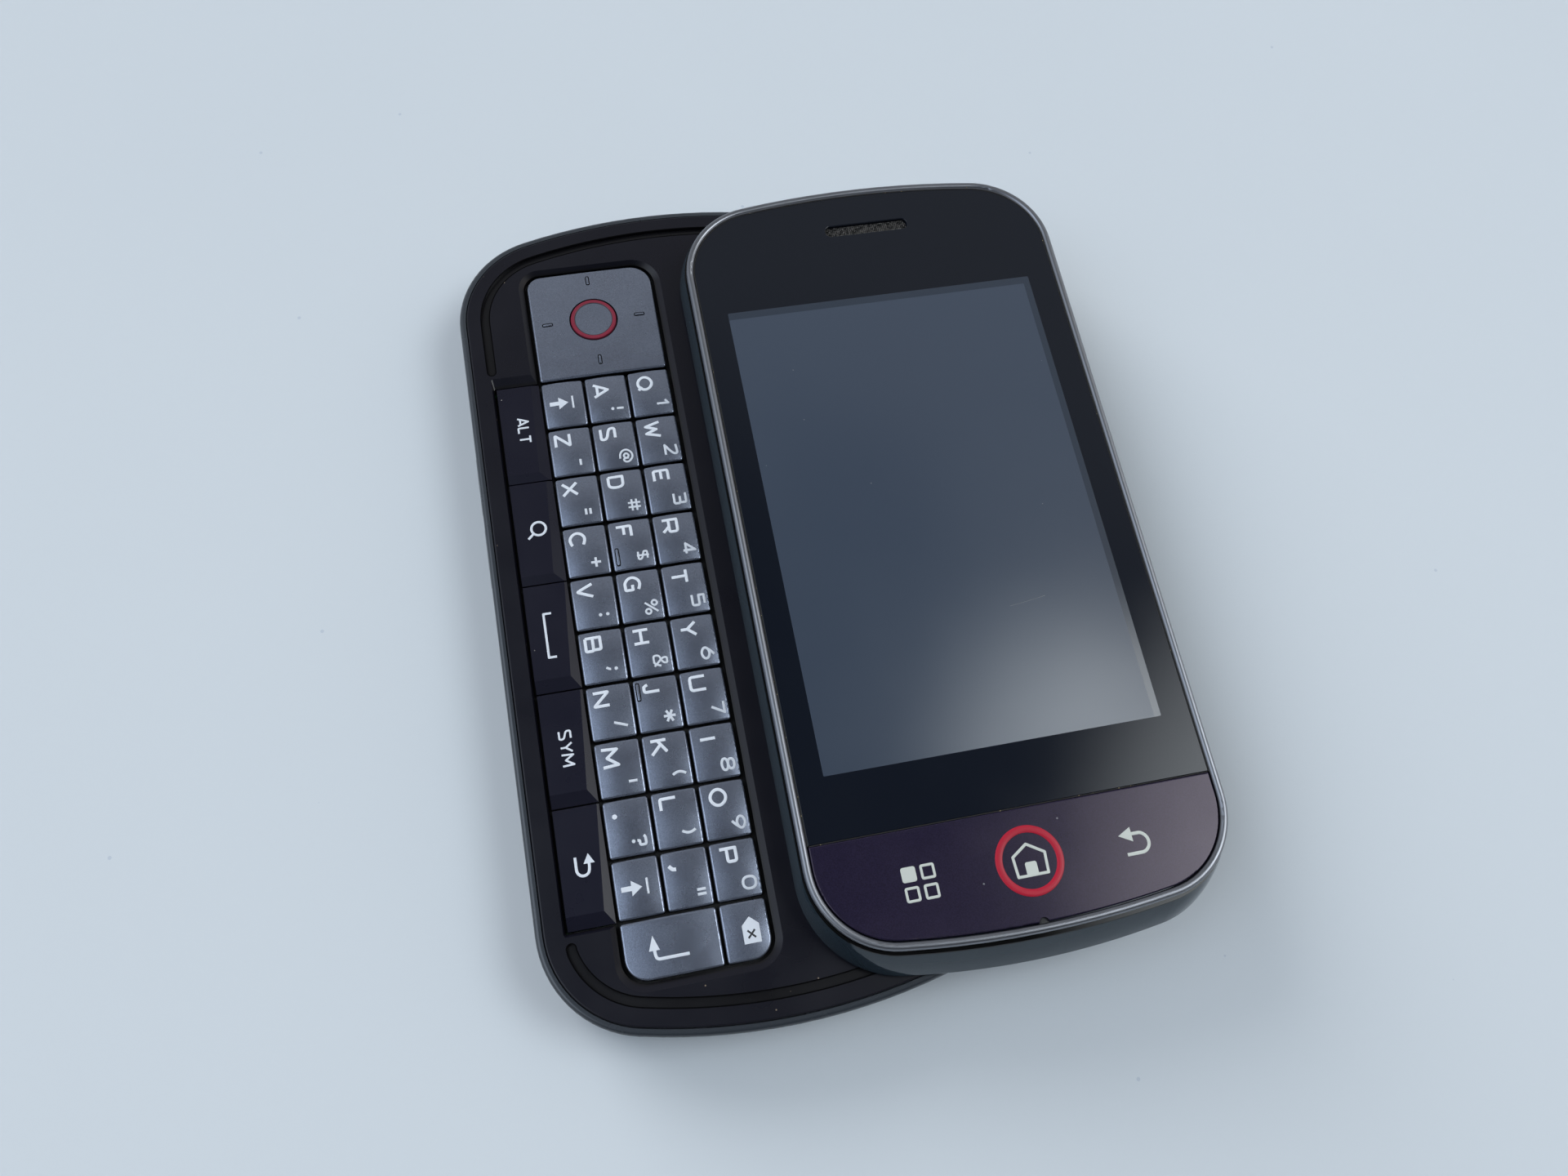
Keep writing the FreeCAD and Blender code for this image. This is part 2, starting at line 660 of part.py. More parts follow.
def slab_bezel():
    """Bright bead round the front, with the ledge that the glass is glued to."""
    inside = bowed_block(rim_plan, 10, 20, -bead_width)
    bead = bowed_block(rim_plan, bead_low, rim_top).cut(inside)
    bead = bead.makeFillet(0.47, flat_edges(bead, rim_top))
    neck = bowed_block(rim_plan, housing_top, bead_low + 0.05, -0.35)
    neck = neck.cut(bowed_block(rim_plan, 10, 20, -ledge_width))
    neck = neck.cut(inside.common(box(-40, 40, -60, front_split + 0.4, 10, 20)))
    neck = neck.cut(bowed_block(rim_plan, glass_low, 20, -bead_width))
    return bead.fuse(neck).removeSplitter()


def touch_glass():
    """Display lens with the earpiece slot."""
    glass = bowed_block(rim_plan, glass_low, glass_top, -bead_width - part_gap)
    glass = glass.common(box(-40, 40, front_split + 0.06, 70, 0, 30))
    glass = glass.cut(corner_block(*ear_slot, 10, 20, [0.8] * 4))
    return glass.makeFillet(0.12, flat_edges(glass, glass_top))


def front_key_plate():
    """One pressed plate for the three front keys, with a half-round microphone notch."""
    plate = bowed_block(rim_plan, glass_low - 0.2, plate_top, -bead_width - 0.12)
    plate = plate.common(box(-40, 40, -70, front_split - 0.06, 0, 30))
    plate = plate.makeFillet(0.2, flat_edges(plate, plate_top))
    return plate.cut(rod(mic_x, mic_y, glass_low - 1, rim_top + 1, mic_radius))


def lcd_panel():
    """Display module under the lens."""
    panel = box(-23.6, 23.6, -32.6, 37.6, tray_floor, 13.6)
    return panel.makeFillet(0.5, upright_edges(panel))


# ---------------------------------------------------------------- write all

save("base_shell", base_shell())
save("battery_door", battery_door())
save("battery", battery())
save("keyboard_deck", keyboard_deck())
save("case_screws", case_screws())
save("main_board", main_board())
save("keypad_mat", keypad_mat())
save("camera_module", camera_module())
save("loudspeaker", loudspeaker())
save("usb_socket", usb_socket())
save("headphone_jack", headphone_jack())
save("volume_rocker", volume_rocker())
save("camera_button", side_button(camera_key_y, 4.5, button_heights, 1, 0.35))
save("lock_button", side_button(lock_key_y, 4.0, button_heights, 1, 0.35))
save("slide_track", slide_track())
save("direction_pad", direction_pad())
save("select_button", select_button())
all_keys()
save("slab_housing", into_slab(slab_housing()))
save("slide_carriage", into_slab(slide_carriage()))
save("slab_bezel", into_slab(slab_bezel()))
save("touch_glass", into_slab(touch_glass()))
save("front_key_plate", into_slab(front_key_plate()))
save("lcd_panel", into_slab(lcd_panel()))
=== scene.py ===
import bpy
import json
import math
from mathutils import Matrix, Vector

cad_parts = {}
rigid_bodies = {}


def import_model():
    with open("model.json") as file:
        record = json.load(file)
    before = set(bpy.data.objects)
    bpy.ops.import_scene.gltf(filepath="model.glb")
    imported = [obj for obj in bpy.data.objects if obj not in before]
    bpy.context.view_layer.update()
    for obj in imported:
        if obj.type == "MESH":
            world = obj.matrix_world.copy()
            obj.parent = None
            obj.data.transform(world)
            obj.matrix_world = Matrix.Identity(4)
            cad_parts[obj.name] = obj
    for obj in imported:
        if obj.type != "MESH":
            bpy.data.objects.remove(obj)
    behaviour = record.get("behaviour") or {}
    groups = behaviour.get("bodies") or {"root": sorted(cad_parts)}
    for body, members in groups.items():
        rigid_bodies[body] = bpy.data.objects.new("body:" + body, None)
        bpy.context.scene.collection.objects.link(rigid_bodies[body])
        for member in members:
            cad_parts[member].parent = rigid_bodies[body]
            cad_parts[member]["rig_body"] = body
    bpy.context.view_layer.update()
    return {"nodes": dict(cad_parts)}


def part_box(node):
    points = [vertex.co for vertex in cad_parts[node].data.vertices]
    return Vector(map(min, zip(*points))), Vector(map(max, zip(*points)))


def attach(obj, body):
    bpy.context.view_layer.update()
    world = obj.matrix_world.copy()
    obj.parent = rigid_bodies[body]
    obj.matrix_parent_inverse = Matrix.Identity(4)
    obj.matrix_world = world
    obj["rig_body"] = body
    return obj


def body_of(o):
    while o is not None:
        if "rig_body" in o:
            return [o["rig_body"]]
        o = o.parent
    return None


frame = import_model()
cad = frame["nodes"]
scene = bpy.context.scene
mm = 0.001
tiny = 1e-7  # in m, for comparing places
mergeAway = 0.002  # in mm, points this close are one
print("frame loaded,", len(cad), "nodes")


# small modelling helpers

def clearSelection():
    if bpy.context.object and bpy.context.object.mode != "OBJECT":
        bpy.ops.object.mode_set(mode="OBJECT")
    bpy.ops.object.select_all(action="DESELECT")


def pick(obj):
    clearSelection()
    obj.select_set(True)
    bpy.context.view_layer.objects.active = obj


def editAll(obj, kind):
    pick(obj)
    bpy.ops.object.mode_set(mode="EDIT")
    bpy.ops.mesh.select_mode(type=kind)
    bpy.ops.mesh.select_all(action="DESELECT")


def selectWhere(obj, kind, test):
    # selects by place or normal, then goes back to edit mode
    editAll(obj, kind)
    bpy.ops.object.mode_set(mode="OBJECT")
    mesh = obj.data
    if kind == "FACE":
        for face in mesh.polygons:
            face.select = test(face)
    elif kind == "EDGE":
        for edge in mesh.edges:
            a, b = (mesh.vertices[i].co for i in edge.vertices)
            edge.select = test(a, b)
    else:
        for vert in mesh.vertices:
            vert.select = test(vert.co)
    bpy.ops.object.mode_set(mode="EDIT")


def leaveEdit():
    bpy.ops.object.mode_set(mode="OBJECT")


def bakePlace(obj):
    # object at the origin, unturned and unscaled, its place in the mesh
    pick(obj)
    bpy.ops.object.transform_apply(location=True, rotation=True, scale=True)
    return obj


def finishPiece(obj, name, body, material, angle=35):
    pick(obj)
    obj.name = name
    obj.data.name = name
    bpy.ops.object.shade_smooth_by_angle(angle=math.radians(angle))
    obj.data.materials.clear()
    obj.data.materials.append(material)
    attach(obj, body)


def applyModifier(obj, kind, **values):
    pick(obj)
    modifier = obj.modifiers.new(kind.lower(), kind)
    for key, value in values.items():
        setattr(modifier, key, value)
    bpy.ops.object.modifier_apply(modifier=modifier.name)


def turned(x, y, profile, segments=72):
    # a turned part: a circle extruded and sized from one (radius, z) to the next, in mm
    radius, z = profile[0]
    clearSelection()
    start = (x * mm, y * mm, z * mm)
    bpy.ops.mesh.primitive_circle_add(vertices=segments, radius=radius * mm, location=start)
    obj = bakePlace(bpy.context.object)
    bpy.ops.object.mode_set(mode="EDIT")
    bpy.ops.mesh.select_all(action="SELECT")
    for nextRadius, nextZ in profile[1:]:
        bpy.ops.mesh.extrude_edges_move(TRANSFORM_OT_translate={"value": (0, 0, (nextZ - z) * mm)})
        grow = nextRadius / radius
        bpy.ops.transform.resize(value=(grow, grow, 1), center_override=(x * mm, y * mm, nextZ * mm))
        radius, z = nextRadius, nextZ
    bpy.ops.mesh.select_all(action="SELECT")
    bpy.ops.mesh.remove_doubles(threshold=mergeAway * mm)
    bpy.ops.mesh.select_all(action="DESELECT")
    bpy.ops.mesh.select_non_manifold()
    if profile[0] != profile[-1]:
        bpy.ops.mesh.fill_holes(sides=0)
    bpy.ops.mesh.select_all(action="SELECT")
    bpy.ops.mesh.normals_make_consistent(inside=False)
    leaveEdit()
    return obj


def roundedBlock(low, high, corner, edge=0.0, segments=6):
    # a plate with rounded upright corners and a small edge round at the top, in mm
    clearSelection()
    middle = [(a + b) / 2 * mm for a, b in zip(low, high)]
    bpy.ops.mesh.primitive_cube_add(size=1, location=middle)
    obj = bpy.context.object
    obj.scale = [(b - a) * mm for a, b in zip(low, high)]
    bakePlace(obj)
    if corner:
        selectWhere(obj, "EDGE", lambda a, b: abs(a.x - b.x) < tiny and abs(a.y - b.y) < tiny)
        bpy.ops.mesh.bevel(offset=corner * mm, segments=segments)
        leaveEdit()
    if edge:
        top = high[2] * mm
        selectWhere(obj, "EDGE", lambda a, b: min(a.z, b.z) > top - tiny)
        bpy.ops.mesh.bevel(offset=edge * mm, segments=3)
        leaveEdit()
    return obj


# finishes

# a speck is a dot in one cell of a pattern: the cell's size in specks, the dot's radius in cells
speckLook = {"cell": 7, "radius": 0.13, "seedShift": (0.37, 0.71, 0.13)}


def newNode(tree, kind, **values):
    node = tree.nodes.new(kind)
    for key, value in values.items():
        if key in node.inputs:
            node.inputs[key].default_value = value
        else:
            setattr(node, key, value)
    return node


def speckMask(tree, coords, size, share, seed):
    # scattered specks: random cells of a Voronoi pattern, each with a small dot
    shift = newNode(tree, "ShaderNodeMapping")
    shift.inputs["Location"].default_value = tuple(seed * value for value in speckLook["seedShift"])
    tree.links.new(coords, shift.inputs["Vector"])
    cells = newNode(tree, "ShaderNodeTexVoronoi", Scale=1 / (size * speckLook["cell"] * mm))
    tree.links.new(shift.outputs["Vector"], cells.inputs["Vector"])
    near = newNode(tree, "ShaderNodeMath", operation="LESS_THAN")
    near.inputs[1].default_value = speckLook["radius"]
    tree.links.new(cells.outputs["Distance"], near.inputs[0])
    split = newNode(tree, "ShaderNodeSeparateColor")
    tree.links.new(cells.outputs["Color"], split.inputs["Color"])
    few = newNode(tree, "ShaderNodeMath", operation="LESS_THAN")
    few.inputs[1].default_value = share
    tree.links.new(split.outputs["Red"], few.inputs[0])
    both = newNode(tree, "ShaderNodeMath", operation="MULTIPLY")
    tree.links.new(near.outputs[0], both.inputs[0])
    tree.links.new(few.outputs[0], both.inputs[1])
    return both.outputs[0]


def mixColor(tree, mask, first, second):
    mix = newNode(tree, "ShaderNodeMix", data_type="RGBA")
    for socket, value in ((mix.inputs[6], first), (mix.inputs[7], second)):
        if isinstance(value, tuple):
            socket.default_value = (*value, 1)
        else:
            tree.links.new(value, socket)
    tree.links.new(mask, mix.inputs[0])
    return mix.outputs[2]


def heightMask(tree, coords, high, low):
    # 0 above the first height, 1 below the second, in mm
    split = newNode(tree, "ShaderNodeSeparateXYZ")
    tree.links.new(coords, split.inputs[0])
    fade = newNode(tree, "ShaderNodeMapRange")
    fade.inputs["From Min"].default_value = high * mm
    fade.inputs["From Max"].default_value = low * mm
    tree.links.new(split.outputs["Z"], fade.inputs["Value"])
    return fade.outputs["Result"]


def finish(name, look):
    # one painted or moulded surface: tint mottling, smudged gloss, fine grain, a little dust and painted
    # shade in recesses
    material = bpy.data.materials.new(name)
    material.use_nodes = True
    tree = material.node_tree
    shader = tree.nodes["Principled BSDF"]
    coords = newNode(tree, "ShaderNodeTexCoord").outputs["Object"]
    shader.inputs["Metallic"].default_value = look.get("metallic", 0.0)
    shader.inputs["Specular IOR Level"].default_value = look.get("specular", 0.5)
    shader.inputs["Coat Weight"].default_value = look.get("coat", 0.0)
    shader.inputs["Coat Roughness"].default_value = 0.1
    shader.inputs["Specular Tint"].default_value = (*look.get("specularTint", (1, 1, 1)), 1)

    patches = newNode(tree, "ShaderNodeTexNoise", Scale=1 / (look.get("patchSize", 9.0) * mm), Detail=4.0)
    tree.links.new(coords, patches.inputs["Vector"])
    grain = newNode(tree, "ShaderNodeTexNoise", Scale=1 / (look.get("grainSize", 0.12) * mm), Detail=2.0)
    tree.links.new(coords, grain.inputs["Vector"])

    color = mixColor(tree, patches.outputs["Fac"], look["color"], look.get("tint", look["color"]))
    if look.get("sparkle"):
        flakes = newNode(tree, "ShaderNodeTexWhiteNoise", noise_dimensions="3D")
        cell = newNode(tree, "ShaderNodeVectorMath", operation="SNAP")
        cell.inputs[1].default_value = (look.get("flakeSize", 0.07) * mm,) * 3
        tree.links.new(coords, cell.inputs[0])
        tree.links.new(cell.outputs["Vector"], flakes.inputs["Vector"])
        spread = newNode(tree, "ShaderNodeMapRange")
        spread.inputs["To Min"].default_value = 1 - look["sparkle"]
        spread.inputs["To Max"].default_value = 1 + look["sparkle"]
        tree.links.new(flakes.outputs["Value"], spread.inputs["Value"])
        scaled = newNode(tree, "ShaderNodeVectorMath", operation="SCALE")
        tree.links.new(color, scaled.inputs[0])
        tree.links.new(spread.outputs["Result"], scaled.inputs["Scale"])
        color = scaled.outputs["Vector"]
    # painted shade: past a given height the colour fades to a dark tone, standing in for shade in grooves,
    # gaps and recesses
    if look.get("recess"):
        color = mixColor(tree, heightMask(tree, coords, *look["recess"][:2]), color, look["recess"][2])
    if look.get("dust"):
        specks = speckMask(tree, coords, look.get("dustSize", 0.14), look["dust"], look.get("seed", 1))
        color = mixColor(tree, specks, color, look.get("dustColor", (0.30, 0.29, 0.27)))
    tree.links.new(color, shader.inputs["Base Color"])

    gloss = newNode(tree, "ShaderNodeMapRange")
    gloss.inputs["From Min"].default_value = 0.3
    gloss.inputs["From Max"].default_value = 0.7
    gloss.inputs["To Min"].default_value = look["roughness"] - look.get("smudge", 0.04)
    gloss.inputs["To Max"].default_value = look["roughness"] + look.get("smudge", 0.04)
    tree.links.new(patches.outputs["Fac"], gloss.inputs["Value"])
    tree.links.new(gloss.outputs["Result"], shader.inputs["Roughness"])

    bump = newNode(tree, "ShaderNodeBump", Strength=look.get("bump", 0.15))
    bump.inputs["Distance"].default_value = look.get("bumpDepth", 0.01) * mm
    tree.links.new(grain.outputs["Fac"], bump.inputs["Height"])
    tree.links.new(bump.outputs["Normal"], shader.inputs["Normal"])
    return material


# the deck is painted darker at the bottom of its grooves and slopes: painted shade
deckCoat = finish("deckCoat", {
    "color": (0.0038, 0.0040, 0.0078), "tint": (0.0052, 0.0052, 0.0094), "roughness": 0.30,
    "specular": 0.31, "smudge": 0.05, "grainSize": 0.09, "bump": 0.22, "bumpDepth": 0.007, "dust": 0.012,
    "dustSize": 0.10, "dustColor": (0.20, 0.16, 0.12), "recess": (8.74, 8.66, (0.0040, 0.0038, 0.0050))})
sideKeyCoat = finish("sideKeyCoat", {
    "color": (0.0050, 0.0052, 0.0125), "tint": (0.0066, 0.0066, 0.0145), "roughness": 0.29,
    "specular": 0.30, "smudge": 0.04, "grainSize": 0.09, "bump": 0.2, "bumpDepth": 0.006, "dust": 0.006,
    "dustSize": 0.09, "seed": 4})
# the keys are painted dark low on their sides: painted shade between the keys
keySilver = finish("keySilver", {
    "color": (0.228, 0.258, 0.330), "tint": (0.256, 0.288, 0.364), "metallic": 0.90, "roughness": 0.27,
    "smudge": 0.03, "sparkle": 0.14, "flakeSize": 0.09, "grainSize": 0.11, "bump": 0.26,
    "bumpDepth": 0.007, "patchSize": 5.0, "recess": (8.72, 8.45, (0.010, 0.009, 0.010))})
shellPaint = finish("shellPaint", {
    "color": (0.036, 0.043, 0.052), "tint": (0.030, 0.036, 0.045), "metallic": 0.25, "roughness": 0.25,
    "smudge": 0.06, "sparkle": 0.06, "grainSize": 0.12, "bump": 0.12, "bumpDepth": 0.005, "dust": 0.004,
    "coat": 0.25})
# the housing's top under the bezel is painted near black: painted shade in the gap
housingGloss = finish("housingGloss", {
    "color": (0.026, 0.038, 0.049), "tint": (0.021, 0.031, 0.041), "metallic": 0.20, "specular": 0.38,
    "roughness": 0.05, "smudge": 0.015, "grainSize": 0.14, "bump": 0.02, "bumpDepth": 0.002,
    "recess": (14.15, 14.28, (0.003, 0.003, 0.003))})
# the bezel is painted near black below its bead: painted shade in the groove
rimChrome = finish("rimChrome", {
    "color": (0.245, 0.255, 0.280), "tint": (0.205, 0.215, 0.238), "metallic": 1.0, "roughness": 0.36,
    "smudge": 0.05, "grainSize": 0.1, "bump": 0.12, "bumpDepth": 0.004, "dust": 0.02, "dustSize": 0.10,
    "dustColor": (0.42, 0.33, 0.20), "seed": 2, "recess": (14.80, 14.76, (0.004, 0.004, 0.004))})
plateCoat = finish("plateCoat", {
    "color": (0.0095, 0.0078, 0.0225), "tint": (0.0125, 0.0096, 0.0255), "roughness": 0.17,
    "smudge": 0.03, "specular": 0.44, "specularTint": (1.0, 0.87, 0.93), "sparkle": 0.2,
    "flakeSize": 0.12, "grainSize": 0.1, "bump": 0.2, "bumpDepth": 0.006, "dust": 0.003,
    "dustColor": (0.16, 0.16, 0.18), "seed": 3})
softBlack = finish("softBlack", {
    "color": (0.014, 0.014, 0.016), "tint": (0.020, 0.019, 0.022), "roughness": 0.55, "grainSize": 0.16,
    "bump": 0.5, "bumpDepth": 0.014, "dust": 0.008, "seed": 5})
blackPlastic = finish("blackPlastic", {
    "color": (0.013, 0.013, 0.014), "tint": (0.018, 0.018, 0.019), "roughness": 0.42, "grainSize": 0.2,
    "bump": 0.2})
siliconeRubber = finish("siliconeRubber", {
    "color": (0.006, 0.006, 0.007), "tint": (0.010, 0.010, 0.011), "roughness": 0.6, "bump": 0.2})
brushedSteel = finish("brushedSteel", {
    "color": (0.42, 0.42, 0.43), "tint": (0.34, 0.34, 0.35), "metallic": 1.0, "roughness": 0.32,
    "smudge": 0.08, "bump": 0.2})
plateAlloy = finish("plateAlloy", {
    "color": (0.24, 0.245, 0.255), "tint": (0.19, 0.195, 0.20), "metallic": 1.0, "roughness": 0.38,
    "smudge": 0.08, "bump": 0.25})
batteryFoil = finish("batteryFoil", {
    "color": (0.045, 0.047, 0.052), "tint": (0.06, 0.062, 0.068), "roughness": 0.45, "grainSize": 0.3,
    "bump": 0.15, "patchSize": 14})
boardGreen = finish("boardGreen", {
    "color": (0.012, 0.055, 0.026), "tint": (0.018, 0.075, 0.035), "roughness": 0.35, "grainSize": 0.5,
    "bump": 0.2})
lensGloss = finish("lensGloss", {
    "color": (0.0034, 0.0054, 0.0104), "tint": (0.0039, 0.0060, 0.0110), "roughness": 0.10,
    "specular": 0.37, "smudge": 0.025, "patchSize": 14, "bump": 0.02, "bumpDepth": 0.001})
lcdFrame = finish("lcdFrame", {
    "color": (0.017, 0.026, 0.041), "tint": (0.019, 0.028, 0.044), "roughness": 0.16, "specular": 0.6,
    "smudge": 0.03, "patchSize": 14, "bump": 0.02, "bumpDepth": 0.001})
lcdFace = finish("lcdFace", {
    "color": (0.036, 0.049, 0.073), "tint": (0.038, 0.052, 0.077), "roughness": 0.22, "specular": 0.52,
    "smudge": 0.03, "grainSize": 0.08, "bump": 0.03, "bumpDepth": 0.001, "patchSize": 20, "dust": 0.003,
    "dustSize": 0.09, "dustColor": (0.13, 0.14, 0.15)})
scratchTone = finish("scratchTone", {
    "color": (0.11, 0.12, 0.13), "tint": (0.07, 0.08, 0.09), "roughness": 0.4, "patchSize": 0.8,
    "bump": 0.1})
shadeInk = finish("shadeInk", {
    "color": (0.0010, 0.0010, 0.0012), "roughness": 0.8, "specular": 0.05, "bump": 0.1})
legendInk = finish("legendInk", {
    "color": (0.60, 0.64, 0.70), "tint": (0.54, 0.58, 0.64), "roughness": 0.5, "grainSize": 0.1,
    "bump": 0.1})
iconInk = finish("iconInk", {
    "color": (0.50, 0.53, 0.49), "tint": (0.44, 0.47, 0.44), "roughness": 0.42, "grainSize": 0.1,
    "bump": 0.1})
# dark ink: print on the keys, and painted shade at the select button's gap
outlineInk = finish("outlineInk", {
    "color": (0.012, 0.014, 0.020), "tint": (0.016, 0.018, 0.024), "roughness": 0.5})
ringRed = finish("ringRed", {
    "color": (0.37, 0.009, 0.028), "tint": (0.31, 0.008, 0.024), "roughness": 0.38, "specular": 0.28,
    "grainSize": 0.12, "bump": 0.12, "bumpDepth": 0.005})
keyRingRed = finish("keyRingRed", {
    "color": (0.20, 0.013, 0.034), "tint": (0.15, 0.010, 0.026), "roughness": 0.4, "bump": 0.1})
contactGold = finish("contactGold", {
    "color": (0.62, 0.42, 0.14), "tint": (0.54, 0.36, 0.12), "metallic": 1.0, "roughness": 0.25,
    "bump": 0.1})
speakerWeave = finish("speakerWeave", {
    "color": (0.02, 0.02, 0.021), "tint": (0.035, 0.034, 0.033), "roughness": 0.7, "grainSize": 0.25,
    "bump": 0.7, "bumpDepth": 0.03})
earWeave = finish("earWeave", {
    "color": (0.050, 0.048, 0.045), "tint": (0.130, 0.124, 0.116), "roughness": 0.55, "patchSize": 0.8,
    "grainSize": 0.15, "bump": 0.5, "bumpDepth": 0.02, "sparkle": 1.0, "flakeSize": 0.26})
seamDirt = finish("seamDirt", {
    "color": (0.004, 0.004, 0.004), "tint": (0.010, 0.008, 0.006), "roughness": 0.7, "patchSize": 0.5,
    "dust": 0.42, "dustSize": 0.06, "dustColor": (0.40, 0.31, 0.17), "bump": 0.4, "seed": 12})
coverBlack = finish("coverBlack", {
    "color": (0.004, 0.004, 0.005), "roughness": 0.14, "smudge": 0.04, "bump": 0.03})
opticBlue = finish("opticBlue", {
    "color": (0.006, 0.010, 0.030), "tint": (0.016, 0.008, 0.030), "roughness": 0.05, "specular": 0.8,
    "specularTint": (0.7, 0.75, 1.0), "smudge": 0.02, "patchSize": 2, "bump": 0.01})


nodeFinish = {
    "base_shell": shellPaint, "battery_door": softBlack, "battery": batteryFoil, "keyboard_deck": deckCoat,
    "case_screws": brushedSteel, "main_board": boardGreen, "keypad_mat": siliconeRubber,
    "camera_module": blackPlastic, "loudspeaker": blackPlastic, "usb_socket": brushedSteel,
    "headphone_jack": blackPlastic, "volume_rocker": shellPaint, "camera_button": shellPaint,
    "lock_button": shellPaint, "slide_track": brushedSteel, "direction_pad": keySilver,
    "select_button": keySilver, "slab_housing": housingGloss, "slide_carriage": plateAlloy,
    "slab_bezel": rimChrome, "touch_glass": lensGloss, "front_key_plate": plateCoat, "lcd_panel": lcdFrame,
}
sideKeys = ("key_alt", "key_search", "key_space", "key_symbol", "key_back")
for nodeName, obj in cad.items():
    chosen = nodeFinish.get(nodeName) or (sideKeyCoat if nodeName in sideKeys else keySilver)
    for slotIndex in range(len(obj.material_slots)):
        obj.material_slots[slotIndex].material = chosen
print("finishes on the solid parts")


# lettering

# each stroke is drawn on a 16 by 16 grid, 0 to 9 then a to g: x then y; an exclamation mark
# makes a sharp corner, a leading o closes the loop, a lone point is a dot
strokeShapes = {
    "A": "00 8g! g0 / 34 d4", "B": "00 0g! bg fg fc f8 b8 08 / 88 c8 g8 g4 g0 c0 00",
    "C": "fe bg 5g 0b 05 50 b0 f2", "D": "00 0g! 6g dg gc g4 d0 60 00",
    "E": "gg 4g 0g 0c 04 00 40 g0 / 08 e8", "F": "gg 4g 0g 0c 00 / 08 d8",
    "G": "fe bg 5g 0b 05 50 b0 f0 f4 f8! 98", "H": "00 0g / g0 gg / 08 g8", "I": "80 8g",
    "J": "bg b6 b0 50 20 04", "K": "00 0g / eg 07 / 5a g0", "L": "0g 04 00 40 f0",
    "M": "00 1g! 85! fg! g0", "N": "00 0d 0g 2e e2 g0 g3 gg", "O": "o 5g bg gb g5 b0 50 05 0b",
    "P": "00 0g! 9g gg gb g7 97 07", "Q": "o 5g bg gb g5 b0 50 05 0b / c4 g0",
    "R": "00 0g! 9g gg gb g7 97 07 / 97 g0", "S": "fg 6g 0g 0b 39 d7 g5 g0 a0 00", "T": "0g gg / 8g 80",
    "U": "0g 06 00 80 g0 g6 gg", "V": "0g 71 80 91 gg", "W": "0g 40! 8c! c0! gg", "X": "00 gg / 0g g0",
    "Y": "0g 87! gg / 87 80", "Z": "0g dg gg ee 22 00 30 g0", "0": "o 4g cg gc g4 c0 40 04 0c",
    "1": "2c ag! a0", "2": "0f 8g fg fb 85 00! g0", "3": "0g bg fg fc f8 a8 58 / a8 g8 g4 g0 b0 00",
    "4": "b0 bg! 04! g4", "5": "eg 1g! 19! 99 g9 g5 g0 90 00",
    "6": "o 5a ba g7 g3 b0 50 03 07 / bg 5c 06", "7": "0g gg! 60",
    "8": "o 5g bg fe fa b8 58 1a 1e / o 58 b8 g6 g2 b0 50 02 06",
    "9": "o 5g bg gd g9 b6 56 09 0d / 50 b4 ga", "!": "8g 86 / 80",
    "@": "o 7b 9b b9 b7 95 75 57 59 / bb b6 d4 g6 gb bg 5g 0b 05 50 b0",
    "#": "50 5g / b0 bg / 05 g5 / 0b gb", "$": "ee 5e 1e 1a 39 d7 f5 f2 a2 12 / 8g 80",
    "%": "o 2g 4g 6e 6b 49 29 0b 0e / o c7 e7 g5 g2 e0 c0 a2 a5 / eg 20",
    "&": "g0 5a 4c 4g 8g cg cc 89 07 00 60 d0 g8", "*": "8g 80 / 1c f4 / 14 fc", "(": "bg 6c 64 b0",
    ")": "5g ac a4 50", "-": "18 f8", "=": "1b fb / 15 f5", "+": "08 g8 / 8g 80", ":": "8d / 83",
    ";": "9d / 96 94 50", "/": "20 eg", "'": "8g 87", ",": "a7 a4 82 50", "\"": "5g 57 / bg b7",
    ".": "83", "?": "0e 3g 8g gg gc g8 a8 88 85 / 80",
}


gridCells = 16
strokeStep = 0.25  # in mm, the longest piece of a straight stroke
dotGrowth = 1.45  # a dot is this much wider than the stroke
layFrom = 0.03  # in m, a height above the whole part
readingTurn = -90  # the keys are read from the side


def readStroke(text):
    closed = text.startswith("o ")
    points = []
    for word in text.replace("o ", "").split():
        across, up = (int(digit, gridCells + 1) / gridCells - 0.5 for digit in word[:2])
        points.append((across, up, word.endswith("!")))
    return closed, points


def addSpline(curve, points, closed, weight):
    # a straight stroke gets points along it, so that it can follow a crowned top
    kind = "NURBS"
    if len(points) == 2:
        kind = "POLY"
        start, end = Vector(points[0]), Vector(points[1])
        steps = max(1, math.ceil((end - start).length / strokeStep))
        points = [start.lerp(end, index / steps) for index in range(steps + 1)]
    spline = curve.splines.new(kind)
    spline.points.add(len(points) - 1)
    for target, (x, y, z) in zip(spline.points, points):
        target.co = (x * mm, y * mm, z * mm, 1)
        target.radius = weight
    if kind == "NURBS":
        spline.order_u = 3
        spline.use_cyclic_u = closed
        spline.use_endpoint_u = not closed
    spline.resolution_u = 5


def addDot(curve, x, y, weight, depth):
    # an upright pin, which flattens into a round dot
    addSpline(curve, [(x, y, -depth), (x, y, depth)], False, weight)


